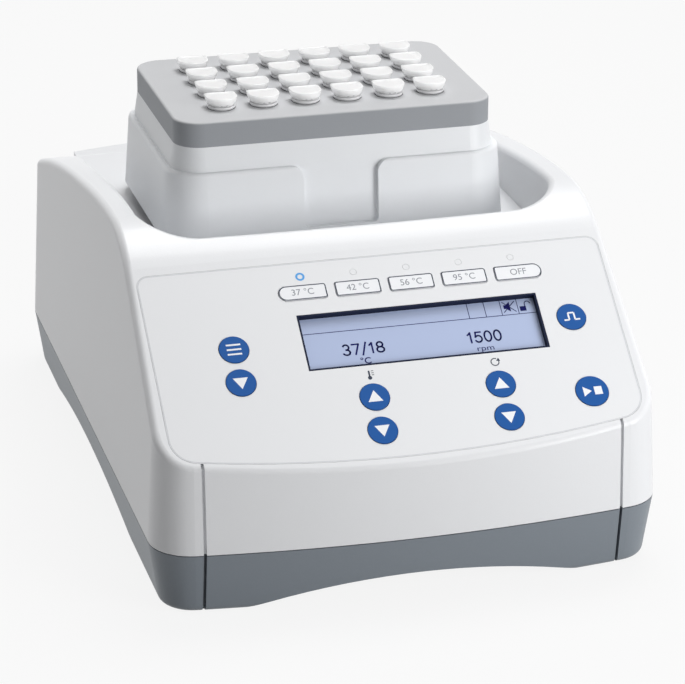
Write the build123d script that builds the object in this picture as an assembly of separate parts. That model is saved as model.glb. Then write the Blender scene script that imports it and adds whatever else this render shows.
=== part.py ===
from build123d import *
import math
import os

# Driving dimensions, mm and degrees.
# X runs across the instrument, Y to the rear and Z up; the origin is on the table under its middle.
body_width = 206.0
body_depth = 304.0
half_width, half_depth = body_width / 2, body_depth / 2
joint_z = 26.5              # where the white housing meets the grey base
seam_gap = 0.4              # shadow line between the two
side_lean = 2.9             # housing walls lean in going up
base_lean = 8.5             # base walls lean in going down
front_bow_radius = 625.0
front_corner_radius = 17.5
rear_corner_radius = 28.0
wall = 3.0
edge_round = 2.8

crest_setback = 112.0       # highest line of the housing, behind the front
crest_y = crest_setback - half_depth
crest_z = 129.0
panel_slope = 37.8
panel_setback = 50.0        # a point on the sloping control panel
panel_y = panel_setback - half_depth
panel_z = 95.0
shoulder_behind, shoulder_z = 64.0, 123.0
shoulder_y = crest_y + shoulder_behind
back_inset, back_z = 57.5, 109.3
back_y = half_depth - back_inset
tail_z = 88.5               # top of the rear wall

ridge_width = 158.0
ridge_inset = 17.5          # front of the ridge from the rear wall
ridge_depth = 12.5
ridge_end_z = 94.7
ridge_crown_z = 98.6

groove_inset = 18.8         # upright grooves at both ends of the front
groove_x = half_width - groove_inset
groove_width = 1.2
groove_depth = 1.6
groove_top_z = 65.5
base_groove_depth = 3.0
base_groove_backing = 3.0

floor_z = 0.8               # underside of the base corners
base_round = 3.2
arch_rise = 10.0
front_arch_half = 69.0
side_arch_half = 92.0
side_arch_y = 7.0
foot_radius = 8.0
foot_x, foot_y = half_width - 20.0, half_depth - 28.0
foot_seat = 2.2
foot_gap = 0.1
foot_chamfer = 0.4

# shaken assembly
block_setback = 169.9       # middle of the tube block and of the drive, behind the front
block_y = block_setback - half_depth
tube_pitch = 17.8
tube_columns, tube_rows = 6, 4
tube_radius = 5.35
tube_hole_gap = 0.25
tube_hole_radius = tube_radius + tube_hole_gap
cover_width, cover_depth = 133.8, 91.8
cover_top_z = 161.0
cover_thickness = 10.4
cover_corner = 11.0
cover_round = 1.0
frame_flare = 9.0           # the frame widens below the cover
ledge_z = 140.5             # step out to the skirt
skirt_step = 2.4
skirt_bottom_z = 110.6
skirt_lean = 4.2
skirt_round = 1.4
frame_wall = 2.4
notch_width = 31.4
notch_bottom_z = 114.6
notch_round = 2.0
notch_shoulder = 5.0        # round where the ledge turns down into the notch
notch_depth = 2.0           # the front hollow reaches this far behind the cover's front
block_half_x, block_half_y = 55.0, 38.0
block_corner = 4.0
block_bottom_z = 109.6
block_gap = 0.3             # block to its insulation and frame
jacket_thickness = 3.2
peltier_size, peltier_height = 50.0, 3.6
well_depth = 28.0
sensor_radius, sensor_bore_radius, sensor_depth, sensor_end_gap = 1.5, 1.8, 22.0, 0.5
orbit_radius = 1.5

# well in the housing, around the block
well_side, well_front = 19.9, 31.9    # from the cover's outline to the lips
well_half = cover_width / 2 + well_side
well_front_y = block_y - cover_depth / 2 - well_front
well_rear_y = half_depth - 62.0
outlet_rear_y = half_depth - 27.0     # the floor runs out here, through the falling rear of the top
outlet_inset = 0.4
well_bow_radius = 4000.0
well_corner_front = 23.0
well_corner_rear = 12.0
well_floor_z = 105.5
well_lean = 3.0
well_rim_round = 2.6
neck_half_x, neck_half_y = 61.0, 43.0
neck_corner = 8.0

# control panel, laid out on the slope: across and up from the panel point
foil_inset = 7.8
foil_half = half_width - foil_inset
foil_top = 33.6
foil_bottom = -57.6
foil_thickness = 0.4
foil_gap = 0.15
foil_corner_top, foil_corner_bottom = 5.0, 11.0
foil_bow_radius = 550.0
key_radius = 5.9
start_key_radius = 6.65
key_gap = 0.25
key_proud = 0.3
key_travel = 0.5
key_flange = 1.2
key_flange_height = 1.0
key_seat = 0.05             # flange to the underside of the housing
round_keys = {
    "menu_key": (-62.5, -3.2, key_radius),
    "scroll_key": (-62.5, -18.1, key_radius),
    "temp_up_key": (-11.6, -30.3, key_radius),
    "temp_down_key": (-11.6, -45.2, key_radius),
    "speed_up_key": (39.7, -30.3, key_radius),
    "speed_down_key": (39.7, -45.2, key_radius),
    "short_mix_key": (75.7, -3.3, key_radius),
    "start_stop_key": (75.6, -37.7, start_key_radius),
}
preset_count = 5
preset_left = -38.8         # left edge of the first preset key
preset_pitch = 22.0
preset_width = 18.2
preset_height = 6.5
preset_up = 19.7
preset_corner = 1.0
preset_end_extra = 1.2      # the outer ends of the row are a little longer and round
lamp_left, lamp_pitch, lamp_up = -29.9, 21.8, 27.0
lamp_radius = 1.3
lamp_gap = 0.1
window_left, window_right = -34.9, 63.6
window_bottom, window_top = -15.9, 9.4
window_gap = 0.1
bezel_frame = 0.7
bezel_depth = 2.4
screen_rim = 3.2            # the screen module is this much larger than its window
board_depth = 7.0           # top of the control board below the panel
board_thickness = 1.6
board_left, board_right = -74.0, 86.0
board_low, board_high = -50.0, 31.0
board_post_inset = 3.0
chip_size, chip_height, chip_up = 14.0, 1.6, -8.0
chip_places = (-20.0, 5.0, 45.0)
header_width, header_depth, header_height, header_across, header_up = 40.0, 6.0, 6.0, 10.0, 22.0
switch_height = 1.9
switch_size = 6.0
plunger_radius = 1.6
switch_gap = 0.2            # left above a plunger when its key is fully down

# screws and posts
screw_radius = 1.45
screw_bore = 1.5
screw_pass = 1.8
head_radius, head_height = 3.0, 2.4
head_pass = 3.4
head_seat_z = 18.0
head_socket_radius, head_socket_depth = 1.6, 1.2
screw_length = 22.0
post_radius = 4.5
front_post_x, front_post_y = half_width - 33.0, 14.0 - half_depth
rear_post_x, rear_post_y = half_width - 19.0, half_depth - 13.0
corner_posts = [
    (-front_post_x, front_post_y), (front_post_x, front_post_y),
    (-rear_post_x, rear_post_y), (rear_post_x, rear_post_y),
]
post_web = 4.0              # each upper post runs on into the nearest wall by this much
upper_post_top = 50.0
lip_gap, lip_width, lip_height, lip_root = 0.3, 1.5, 3.0, 5.0
small_screw_radius, small_head_radius, small_head_height = 1.2, 2.3, 1.6
chassis_screw_length, chassis_bore_depth = 7.9, 8.0
small_screw_gap = 0.05
small_screw_pass = 1.5
small_post_radius = 2.6

# chassis and drive
chassis_z, chassis_thickness = 15.0, 2.0
chassis_half_x, chassis_ahead, chassis_behind = 70.0, 121.9, 96.1
chassis_front_y, chassis_rear_y = block_y - chassis_ahead, block_y + chassis_behind
chassis_corner = 6.0
chassis_screw_inset = 10.0
chassis_screw_x = 62.0
bridge_z, bridge_thickness = 44.0, 6.0
bridge_half_x, bridge_half_y = 68.0, 47.0
bridge_corner = 8.0
pillar_x, pillar_y, pillar_radius = 61.0, 40.0, 5.0
motor_radius, motor_height = 28.0, 24.0
motor_flange_radius, motor_flange_height = 30.0, 3.0
motor_bore, motor_bore_depth = 4.6, 8.0
motor_terminal, motor_terminal_low, motor_terminal_high = 16.0, 16.0, 6.0
motor_terminal_proud = 5.0
shaft_radius = 4.0
running_gap = 0.04
seat_gap = 0.02
shaft_low_z = 38.0
shaft_web_z, shaft_web_height, shaft_web_radius = 56.0, 3.0, 13.0
bearing_radius, bearing_height = 11.0, 6.0
bearing_lip = 2.0
idler_places = [(-50.0, -30.0), (50.0, -30.0), (-50.0, 30.0), (50.0, 30.0)]
idler_radius = 3.0
idler_low_z = 41.0
idler_web_z, idler_web_height, idler_web_radius = 51.0, 4.0, 8.0
idler_bearing_radius = 8.0
idler_pin_gap = 0.3         # open pivot of each closed link
idler_pin_top = 79.0
weight_radius, weight_hub = 33.0, 10.0
table_z, table_thickness = 72.0, 8.0
table_half_x, table_half_y = 62.0, 44.0
table_corner = 10.0
sink_low_z, sink_plate = 83.0, 4.0
sink_half_x, sink_half_y = 56.0, 38.0
fin_count, fin_thickness = 15, 2.2
sink_post_radius, sink_post_inset = 4.0, 6.0

# tubes and lids
tube_bottom_z, tube_cone_height, tube_tip_radius = 123.0, 16.0, 1.9
flange_reach, flange_height = 0.9, 1.15
flange_radius = tube_radius + flange_reach
tube_wall = 0.75
tube_mouth_depth = 3.0
tube_seat = 0.05
lid_reach = 1.15
lid_radius = tube_radius + lid_reach
lid_top_z = 165.9
lid_gap = 0.15
lid_lean = 14.0             # the sides of the lid lean in going down
lid_back = 5.0              # straight rear edge behind the middle of the tube
lid_corner = 1.6
lid_plug_gap, lid_plug_depth = 0.4, 1.5
lid_strap_height = 1.1
hinge_back = 7.6            # hinge line behind the middle of the tube
hinge_width = 5.0

# rear fittings
fan_size, fan_depth, fan_bore = 50.0, 15.0, 23.0
fan_x, fan_z, fan_inset = -42.0, 57.0, 7.4
fan_rear_y = half_depth - fan_inset
fan_corner, fan_spider, fan_spider_width = 3.0, 2.5, 2.4
fan_rotor_gap = 1.0
fan_hole, fan_pin, fan_pitch, fan_seat_ring = 2.1, 1.9, 20.0, 1.5
fan_hub, fan_stub, fan_blades = 10.0, 2.0, 7
fan_blade_radius, fan_blade_chord, fan_blade_pitch, fan_blade_thickness = 21.6, 11.0, 35.0, 1.2
slot_count, slot_height, slot_pitch = 8, 2.6, 5.4
slot_reach = 22.5
inlet_x, inlet_z = 48.0, 56.0
inlet_width, inlet_height = 57.0, 28.5
inlet_seat_y, inlet_face_y, inlet_back_y = half_depth - 2.8, half_depth - 1.0, half_depth - 28.0
inlet_pad, inlet_pad_margin = 3.8, 2.0
inlet_body_margin = 2.2
inlet_gap = 0.2
socket_x, socket_z, socket_width, socket_height, socket_depth = -12.0, 3.0, 24.0, 15.6, 15.0
socket_corner = 4.5
pin_length, pin_width, pin_height = 10.0, 2.0, 4.0
pin_places = [(-7.0, -1.5), (7.0, -1.5), (0.0, 2.5)]
drawer_z, drawer_width, drawer_height, drawer_depth = -8.2, 24.0, 5.0, 21.0
drawer_gap, drawer_lip, drawer_wall = 0.15, 0.6, 3.0
rocker_x, rocker_width, rocker_height, rocker_depth = 17.5, 13.4, 19.6, 11.0
rocker_side_gap, rocker_end_gap, rocker_tilt, rocker_pivot_y = 0.3, 0.8, 9.0, half_depth - 5.4
rocker_face, rocker_waist, rocker_back = 3.4, 1.9, 3.6
rocker_pin_radius, rocker_pin_gap = 1.4, 0.05

# electronics
supply_x, supply_behind, supply_width, supply_depth, supply_height = 24.0, 73.1, 62.0, 38.0, 32.0
supply_y = block_y + supply_behind
supply_slots, supply_slot_pitch, supply_slot_width = 6, 7.6, 3.0
supply_slot_first, supply_slot_inset, supply_slot_depth = 12.0, 6.0, 2.0
supply_step_depth, supply_step_height = 8.0, 12.0
main_board_ahead, main_board_width, main_board_depth, main_board_lift = 83.9, 116.0, 62.0, 6.0
main_board_y = block_y - main_board_ahead
main_board_post_inset = 5.0
main_board_blocks = [       # transformer, processor and plug: left, right, front, rear, height
    (14.0, 44.0, -20.0, -4.0, 12.0),
    (-20.0, 4.0, 4.0, 24.0, 2.0),
    (14.0, 54.0, 18.0, 25.0, 9.0),
]
capacitor_radius, capacitor_height, capacitor_count, capacitor_pitch = 5.5, 14.0, 3, 15.0

# Derived places and helpers
slope = math.radians(panel_slope)
upper_low, base_top = joint_z + seam_gap / 2, joint_z - seam_gap / 2
chassis_top = chassis_z + chassis_thickness
cover_low = cover_top_z - cover_thickness
sink_top_z = block_bottom_z - peltier_height
drive_x = -orbit_radius      # the pin then stands under the middle of the block at rest
panel_plane = Plane(
    origin=(0, panel_y, panel_z),
    x_dir=(1, 0, 0),
    z_dir=(0, -math.sin(slope), math.cos(slope)),
)


def upright(x, y, z, radius, height):
    """A cylinder standing on z."""
    return Pos(x, y, z) * Cylinder(radius, height, align=(Align.CENTER, Align.CENTER, Align.MIN))


def slab(x_low, x_high, y_low, y_high, z_low, z_high):
    """A block between two corners."""
    centre = Pos((x_low + x_high) / 2, (y_low + y_high) / 2, (z_low + z_high) / 2)
    return centre * Box(x_high - x_low, y_high - y_low, z_high - z_low)


def rounded_slab(x_low, x_high, y_low, y_high, z_low, z_high, corner):
    """A block with upright rounded corners."""
    shape = RectangleRounded(x_high - x_low, y_high - y_low, corner)
    return extrude(Pos((x_low + x_high) / 2, (y_low + y_high) / 2, z_low) * shape, z_high - z_low)


def bowed_outline(half, front, rear, front_round, bow, rear_round):
    """Plan with a bowed front edge, whose corners run into the bow smoothly."""
    corner_x = half - front_round
    bow_y = front + bow
    corner_y = bow_y - math.sqrt((bow - front_round) ** 2 - corner_x**2)
    turn = math.degrees(math.atan2(corner_x, bow_y - corner_y))
    rear_x, rear_y = half - rear_round, rear - rear_round
    return make_face(
        [
            CenterArc((0, bow_y), bow, -90 - turn, 2 * turn),
            CenterArc((corner_x, corner_y), front_round, -90 + turn, 90 - turn),
            Line((half, corner_y), (half, rear_y)),
            CenterArc((rear_x, rear_y), rear_round, 0, 90),
            Line((rear_x, rear), (-rear_x, rear)),
            CenterArc((-rear_x, rear_y), rear_round, 90, 90),
            Line((-half, rear_y), (-half, corner_y)),
            CenterArc((-corner_x, corner_y), front_round, 180, 90 - turn),
        ]
    )


def body_plan(inset):
    """Plan of the whole instrument at the joint line, moved in by inset."""
    return bowed_outline(
        half_width - inset,
        -half_depth + inset,
        half_depth - inset,
        front_corner_radius - inset,
        front_bow_radius - inset,
        rear_corner_radius - inset,
    )


def side_profile(inset, low):
    """Side view of the housing top, moved in by inset: panel, crest, long back."""
    top = crest_z - inset
    at_crest = panel_z - inset / math.cos(slope) + math.tan(slope) * (crest_y - panel_y)
    crest_radius = (at_crest - top) / (1 / math.cos(slope) - 1)
    tangent_y = crest_y - crest_radius * math.sin(slope)
    tangent_z = top - crest_radius * (1 - math.cos(slope))
    front_y, rear_y = -half_depth - wall, half_depth
    front_z = tangent_z - math.tan(slope) * (tangent_y - front_y)
    crest = CenterArc((crest_y, top - crest_radius), crest_radius, 90, panel_slope)
    back = Spline(
        [(crest_y, top), (shoulder_y, shoulder_z - inset), (back_y, back_z - inset), (rear_y, tail_z - inset)],
        tangents=[(1, 0), (1, -0.52)],
    )
    return make_face(
        [
            Line((front_y, front_z), (tangent_y, tangent_z)),
            crest,
            back,
            Line((rear_y, tail_z - inset), (rear_y, low)),
            Line((rear_y, low), (front_y, low)),
            Line((front_y, low), (front_y, front_z)),
        ]
    )


def housing_mass(inset, low):
    """The housing as a solid lump, moved in by inset and cut flat at low."""
    walls = extrude(Pos(0, 0, joint_z) * body_plan(inset), crest_z, taper=side_lean)
    crown = extrude(Plane.YZ * side_profile(inset, low), half_width, both=True)
    return walls & crown


def base_mass(inset, low, top):
    """The base as a solid lump between two heights; its walls lean in going down from the joint line."""
    grow = math.tan(math.radians(base_lean)) * (top - joint_z)
    plan = Pos(0, 0, top) * body_plan(inset - grow)
    return extrude(plan, -(top - low), taper=base_lean)


def arches(grow):
    """The two shallow hollows under the base, one each way, larger by grow."""
    peak = floor_z + arch_rise
    front_radius = (front_arch_half**2 + arch_rise**2) / (2 * arch_rise)
    side_radius = (side_arch_half**2 + arch_rise**2) / (2 * arch_rise)
    front = Pos(0, 0, peak - front_radius) * Rot(X=90) * Cylinder(front_radius + grow, 2 * body_depth)
    side = Pos(0, side_arch_y, peak - side_radius) * Rot(Y=90) * Cylinder(side_radius + grow, 2 * body_width)
    return front + side


def well_plan(grow):
    return bowed_outline(
        well_half + grow,
        well_front_y - grow,
        well_rear_y + grow,
        well_corner_front + grow,
        well_bow_radius + grow,
        well_corner_rear + grow,
    )


def well_mass(grow, low):
    """Space of the well, opening upwards, with its wall lines on the plan at the crest height."""
    shrink = math.tan(math.radians(well_lean)) * (crest_z - low)
    return extrude(Pos(0, 0, low) * well_plan(grow - shrink), crest_z + 10 - low, taper=-well_lean)


def well_outlet(grow, low):
    """Rear of the well, through which its floor runs out to the falling top."""
    half = well_half - outlet_inset + grow - math.tan(math.radians(well_lean)) * (crest_z - low)
    front, rear = well_rear_y - 2 * well_corner_rear, outlet_rear_y + grow
    plan = Pos(0, (front + rear) / 2, low) * Rectangle(2 * half, rear - front)
    return extrude(plan, crest_z + 10 - low, taper=-well_lean)


def groove_cut(core):
    """The two upright front grooves, cut down to the given core."""
    left, right = [
        slab(x - groove_width / 2, x + groove_width / 2, -half_depth - wall, -half_depth + 20, 0, groove_top_z)
        for x in (-groove_x, groove_x)
    ]
    return (left + right) - core


def along_y(x, y_front, y_rear, z, radius):
    """A round bar running front to rear."""
    return Pos(x, (y_front + y_rear) / 2, z) * Rot(X=90) * Cylinder(radius, y_rear - y_front)


def corners(half_x, half_y, middle_y=0.0):
    return [(x, middle_y + y) for x in (-half_x, half_x) for y in (-half_y, half_y)]


def fuse(shapes):
    """Joins a list of shapes into one."""
    whole = shapes[0]
    for shape in shapes[1:]:
        whole = whole + shape
    return whole


# Places on the control panel
def on_panel(across, up, depth=0.0):
    """A place on the sloping panel; depth is along its outward normal."""
    return panel_plane * Pos(across, up, depth)


def preset_outline(index, grow=0.0):
    """Face of one preset key: square corners, and a round outer end on the first and last."""
    left = preset_left + index * preset_pitch
    right = left + preset_width
    half = preset_height / 2 + grow
    if index == 0:
        left -= preset_end_extra
    if index == preset_count - 1:
        right += preset_end_extra
    outline = RectangleRounded(right - left + 2 * grow, 2 * half, preset_corner + grow)
    face = Pos((left + right) / 2, preset_up) * outline
    if index in (0, preset_count - 1):
        end_x = left - grow + half if index == 0 else right + grow - half
        inner = right if index == 0 else left
        middle = (end_x + inner) / 2
        keep = Pos(middle, preset_up) * Rectangle(abs(end_x - inner) + 2 * grow + 2, 2 * half + 2)
        face = (face & keep) + Pos(end_x, preset_up) * Circle(half)
    return face


def key_faces(grow):
    """Every key outline with its name."""
    faces = {name: Pos(x, up) * Circle(radius + grow) for name, (x, up, radius) in round_keys.items()}
    for index in range(preset_count):
        faces[f"preset_key_{index + 1}"] = preset_outline(index, grow)
    return faces


def key_middles():
    places = {name: (x, up) for name, (x, up, radius) in round_keys.items()}
    for index in range(preset_count):
        places[f"preset_key_{index + 1}"] = (preset_left + index * preset_pitch + preset_width / 2, preset_up)
    return places


def window_face(grow):
    width, height = window_right - window_left, window_top - window_bottom
    middle = Pos((window_left + window_right) / 2, (window_bottom + window_top) / 2)
    return middle * Rectangle(width + 2 * grow, height + 2 * grow)


def lamp_places():
    return [(lamp_left + index * lamp_pitch, lamp_up) for index in range(preset_count)]


def foil_outline(grow):
    return bowed_outline(
        foil_half + grow,
        foil_bottom - grow,
        foil_top + grow,
        foil_corner_bottom + grow,
        foil_bow_radius + grow,
        foil_corner_top + grow,
    )


def through_panel(face, low, high):
    """A face on the panel carried from one depth to another."""
    return extrude(on_panel(0, 0, low) * face, high - low)


# Housing
def is_crown_edge(edge):
    """Edges where the top meets the walls: not the upright seams, and not the bends of the top itself."""
    box = edge.bounding_box()
    if box.min.Z < upper_low + 1:
        return False
    bend = abs(edge.center().X) < 1 and box.size.X > 0.8 * body_width and abs(edge.center().Y) < half_depth - 12
    return not bend


def is_well_lip(edge):
    box = edge.bounding_box()
    inside_x = max(abs(box.min.X), abs(box.max.X)) < well_half + 2
    inside_y = box.min.Y > well_front_y - 3 and box.max.Y < well_rear_y + 3
    return inside_x and inside_y and box.min.Z > well_floor_z + 1


def make_ridge():
    """Crowned bar moulded across the rear of the top."""
    half, root = ridge_width / 2, tail_z - 6
    side = make_face(
        [
            Line((-half, root), (-half, ridge_end_z)),
            ThreePointArc((-half, ridge_end_z), (0, ridge_crown_z), (half, ridge_end_z)),
            Line((half, ridge_end_z), (half, root)),
            Line((half, root), (-half, root)),
        ]
    )
    return Pos(0, half_depth - ridge_inset, 0) * extrude(Plane.XZ * side, -ridge_depth)


def upper_posts(grow, low, high):
    """Posts for the four long screws, each running on into the front or rear wall."""
    posts = []
    radius = post_radius + grow
    for x, y in corner_posts:
        reach = math.copysign(post_web, y)
        web = slab(x - radius, x + radius, min(y, y + reach), max(y, y + reach), low, high)
        posts.append(upright(x, y, low, radius, high - low) + web + upright(x, y + reach, low, radius, high - low))
    return fuse(posts)


def board_posts():
    """Where the control board is screwed to the housing, across and up the panel."""
    low, high = board_low + board_post_inset, board_high - board_post_inset
    return [(x, up) for x in (board_left + board_post_inset, board_right - board_post_inset) for up in (low, high)]


def fan_corners():
    return [(fan_x + x, fan_z + z) for x in (-fan_pitch, fan_pitch) for z in (-fan_pitch, fan_pitch)]


def inlet_box(grow, y_front, y_rear):
    """A block over the mains inlet's flange, larger by grow."""
    half_x, half_z = inlet_width / 2 + grow, inlet_height / 2 + grow
    return slab(inlet_x - half_x, inlet_x + half_x, y_front, y_rear, inlet_z - half_z, inlet_z + half_z)


def housing_inner_features():
    """Posts and pads moulded inside the upper housing, before they are trimmed to its outer form."""
    shapes = [upper_posts(0, upper_low, upper_post_top)]
    for x, up in board_posts():
        shapes.append(through_panel(Pos(x, up) * Circle(small_post_radius), -board_depth, -wall / 2))
    for x, z in fan_corners():
        shapes.append(along_y(x, fan_rear_y, half_depth, z, fan_pin + fan_seat_ring))
        shapes.append(along_y(x, fan_rear_y - fan_depth / 2, half_depth, z, fan_pin))
    shapes.append(inlet_box(inlet_pad_margin, inlet_seat_y - inlet_pad, half_depth))
    return fuse(shapes)


def housing_rear_cuts():
    """Air slots behind the fan, and the seat and hole of the mains inlet."""
    cuts = []
    for index in range(slot_count):
        rise = (index - (slot_count - 1) / 2) * slot_pitch
        half = math.sqrt(slot_reach**2 - rise**2)
        slot = Pos(fan_x, half_depth + 1, fan_z + rise) * Rot(X=90) * SlotOverall(2 * half, slot_height)
        cuts.append(extrude(slot, 3 * wall))
    cuts.append(inlet_box(inlet_gap, inlet_seat_y, half_depth + 1))
    cuts.append(inlet_box(inlet_gap - inlet_body_margin, inlet_back_y, half_depth + 1))
    return fuse(cuts)


def housing_panel_cuts():
    """Foil recess, key holes, display window, lamp holes and board screw bores in the panel."""
    through = -2 * wall
    cuts = [through_panel(foil_outline(foil_gap), -foil_thickness, 2 * wall)]
    cuts += [through_panel(face, through, 1) for face in key_faces(key_gap).values()]
    cuts.append(through_panel(window_face(window_gap), through, 1))
    for x, up in lamp_places():
        cuts.append(through_panel(Pos(x, up) * Circle(lamp_radius + lamp_gap), through, 1))
    bore = small_screw_radius + small_screw_gap
    for x, up in board_posts():
        cuts.append(through_panel(Pos(x, up) * Circle(bore), -board_depth - 1, -wall - small_screw_gap))
    return fuse(cuts)


def make_upper_housing():
    shell = housing_mass(0, upper_low)
    shell = fillet([edge for edge in shell.edges() if is_crown_edge(edge)], edge_round)
    shell = shell + make_ridge() - well_mass(0, well_floor_z)
    shell = fillet([edge for edge in shell.edges() if is_well_lip(edge)], well_rim_round)
    shell = shell - well_outlet(0, well_floor_z)
    lining_z = well_floor_z - wall
    shell = shell - (housing_mass(wall, upper_low - 1) - well_mass(wall, lining_z) - well_outlet(wall, lining_z))
    neck_y = (block_y - neck_half_y, block_y + neck_half_y)
    neck_z = (well_floor_z - 2 * wall, well_floor_z + wall)
    shell = shell - rounded_slab(-neck_half_x, neck_half_x, *neck_y, *neck_z, neck_corner)
    shell = shell + (housing_inner_features() & housing_mass(wall / 2, upper_low))
    shell = shell - housing_panel_cuts() - housing_rear_cuts()
    shell = shell - groove_cut(housing_mass(groove_depth, upper_low - 1))
    bore_height = head_seat_z + screw_length + 1 - upper_low
    return shell - fuse([upright(x, y, upper_low, screw_bore, bore_height) for x, y in corner_posts])


def chassis_screw_places():
    front, rear = chassis_front_y + chassis_screw_inset, chassis_rear_y - chassis_screw_inset
    return [(x, y) for x in (-chassis_screw_x, chassis_screw_x) for y in (front, rear)]


def foot_places():
    return corners(foot_x, foot_y)


def make_base_housing():
    outer = base_mass(0, floor_z, base_top)
    outer = fillet(outer.faces().sort_by(Axis.Z)[0].edges(), base_round)
    hollow = base_mass(wall, floor_z + wall, base_top + 1) - arches(wall)
    tray = outer - hollow
    posts = [upright(x, y, floor_z, post_radius, base_top - floor_z) for x, y in corner_posts]
    posts += [upright(x, y, floor_z, post_radius, chassis_z - floor_z) for x, y in chassis_screw_places()]
    root = extrude(Pos(0, 0, base_top - lip_root) * body_plan(wall / 2), lip_root)
    for x in (-groove_x, groove_x):
        posts.append(
            slab(
                x - base_groove_backing, x + base_groove_backing,
                -half_depth, -half_depth + front_corner_radius, floor_z, base_top,
            )
        )
    inner_plan = body_plan(wall + lip_gap + lip_width)
    root = root - extrude(Pos(0, 0, base_top - lip_root) * inner_plan, lip_root)
    tray = tray + ((fuse(posts) + root) & outer)
    lip = extrude(Pos(0, 0, base_top) * (body_plan(wall + lip_gap) - inner_plan), lip_height)
    tray = tray + (lip - upper_posts(lip_gap, base_top - 1, base_top + 2 * lip_height))
    tray = tray - arches(0) - groove_cut(base_mass(base_groove_depth, floor_z - 1, base_top + 1))
    cuts = []
    for x, y in corner_posts:
        cuts.append(upright(x, y, 0, head_pass, head_seat_z))
        cuts.append(upright(x, y, 0, screw_pass, base_top + 1))
    for x, y in chassis_screw_places():
        bore_low = chassis_z - chassis_bore_depth
        cuts.append(upright(x, y, bore_low, small_screw_radius + small_screw_gap, chassis_bore_depth + 1))
    for x, y in foot_places():
        cuts.append(upright(x, y, 0, foot_radius + foot_gap, foot_seat))
    return tray - fuse(cuts)


def make_rubber_feet():
    feet = [upright(x, y, 0, foot_radius, foot_seat) for x, y in foot_places()]
    return [chamfer(foot.edges().sort_by(Axis.Z)[0], foot_chamfer) for foot in feet]


def make_housing_screws():
    screws = []
    for x, y in corner_posts:
        head_low = head_seat_z - head_height
        head = upright(x, y, head_low, head_radius, head_height)
        socket = Pos(x, y, head_low) * extrude(RegularPolygon(head_socket_radius, 6), head_socket_depth)
        screws.append(head + upright(x, y, head_seat_z, screw_radius, screw_length) - socket)
    return screws


# Control panel
def make_control_foil():
    foil = through_panel(foil_outline(0), -foil_thickness, 0)
    holes = [through_panel(face, -1, 1) for face in key_faces(key_gap).values()]
    holes.append(through_panel(window_face(window_gap), -1, 1))
    holes += [through_panel(Pos(x, up) * Circle(lamp_radius + lamp_gap), -1, 1) for x, up in lamp_places()]
    return foil - fuse(holes)


def make_keys():
    """Each key: a cap through the panel on a wider flange that stops it under the housing."""
    seat = -(wall + key_seat)
    caps, flanges = key_faces(0), key_faces(key_flange)
    return {
        name: through_panel(caps[name], seat, key_proud)
        + through_panel(flanges[name], seat - key_flange_height, seat)
        for name in caps
    }


def make_key_switches():
    switches = []
    plunger_top = -(wall + key_seat + key_flange_height + key_travel + switch_gap)
    for x, up in key_middles().values():
        body_top = switch_height - board_depth
        body = through_panel(Pos(x, up) * Rectangle(switch_size, switch_size), -board_depth, body_top)
        plunger = through_panel(Pos(x, up) * Circle(plunger_radius), body_top, plunger_top)
        switches.append(body + plunger)
    return switches


def make_key_lamps():
    return [
        through_panel(Pos(x, up) * Circle(lamp_radius), -board_depth, 0)
        for x, up in lamp_places()
    ]


def make_display_bezel():
    return through_panel(window_face(0) - window_face(-bezel_frame), -wall, 0)


def make_lcd_screen():
    module = through_panel(window_face(screen_rim), -board_depth, -wall - window_gap)
    glass = through_panel(window_face(-bezel_frame - window_gap), -wall - window_gap, -bezel_depth)
    return module + glass


def make_control_board():
    middle = Pos((board_left + board_right) / 2, (board_low + board_high) / 2)
    plate = middle * Rectangle(board_right - board_left, board_high - board_low)
    back = -board_depth - board_thickness
    board = through_panel(plate, back, -board_depth)
    holes = [Pos(x, up) * Circle(small_screw_pass) for x, up in board_posts()]
    board = board - fuse([through_panel(hole, back - 1, 0) for hole in holes])
    chip = Rectangle(chip_size, chip_size)
    chips = [through_panel(Pos(x, chip_up) * chip, back - chip_height, back) for x in chip_places]
    header_face = Pos(header_across, header_up) * Rectangle(header_width, header_depth)
    header = through_panel(header_face, back - header_height, back)
    return fuse([board, header, *chips])


def small_screw(height):
    """A small screw along +Z from under its head at the origin."""
    head = upright(0, 0, -small_head_height, small_head_radius, small_head_height)
    return head + upright(0, 0, 0, small_screw_radius, height)


def make_inner_screws():
    """Screws of the control board and of the chassis."""
    back = -board_depth - board_thickness
    screws = [on_panel(x, up, back) * small_screw(-back - wall - 2 * small_screw_gap) for x, up in board_posts()]
    chassis_screw = Rot(X=180) * small_screw(chassis_screw_length)
    screws += [Pos(x, y, chassis_top) * chassis_screw for x, y in chassis_screw_places()]
    return screws


# Chassis and shaker drive
def drive_point(place=(0.0, 0.0)):
    """Axis of the drive, or of one idler, on the fixed side."""
    return drive_x + place[0], block_y + place[1]


def make_chassis_plate():
    plate = rounded_slab(
        -chassis_half_x, chassis_half_x, chassis_front_y, chassis_rear_y, chassis_z, chassis_top, chassis_corner
    )
    holes = [upright(x, y, chassis_z - 1, small_screw_pass, 4) for x, y in chassis_screw_places()]
    return plate - fuse(holes)


def make_bridge_pillars():
    height = bridge_z - chassis_top
    return [upright(x, y, chassis_top, pillar_radius, height) for x, y in corners(pillar_x, pillar_y, block_y)]


def make_bearing_bridge():
    top = bridge_z + bridge_thickness
    plate = rounded_slab(
        -bridge_half_x, bridge_half_x, block_y - bridge_half_y, block_y + bridge_half_y, bridge_z, top, bridge_corner
    )
    low, height = bridge_z - 1, bridge_thickness + 2
    bores = [upright(*drive_point(), low, bearing_radius + seat_gap, height)]
    for place in idler_places:
        bores.append(upright(*drive_point(place), low, idler_bearing_radius + seat_gap, height))
    return plate - fuse(bores)


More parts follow.
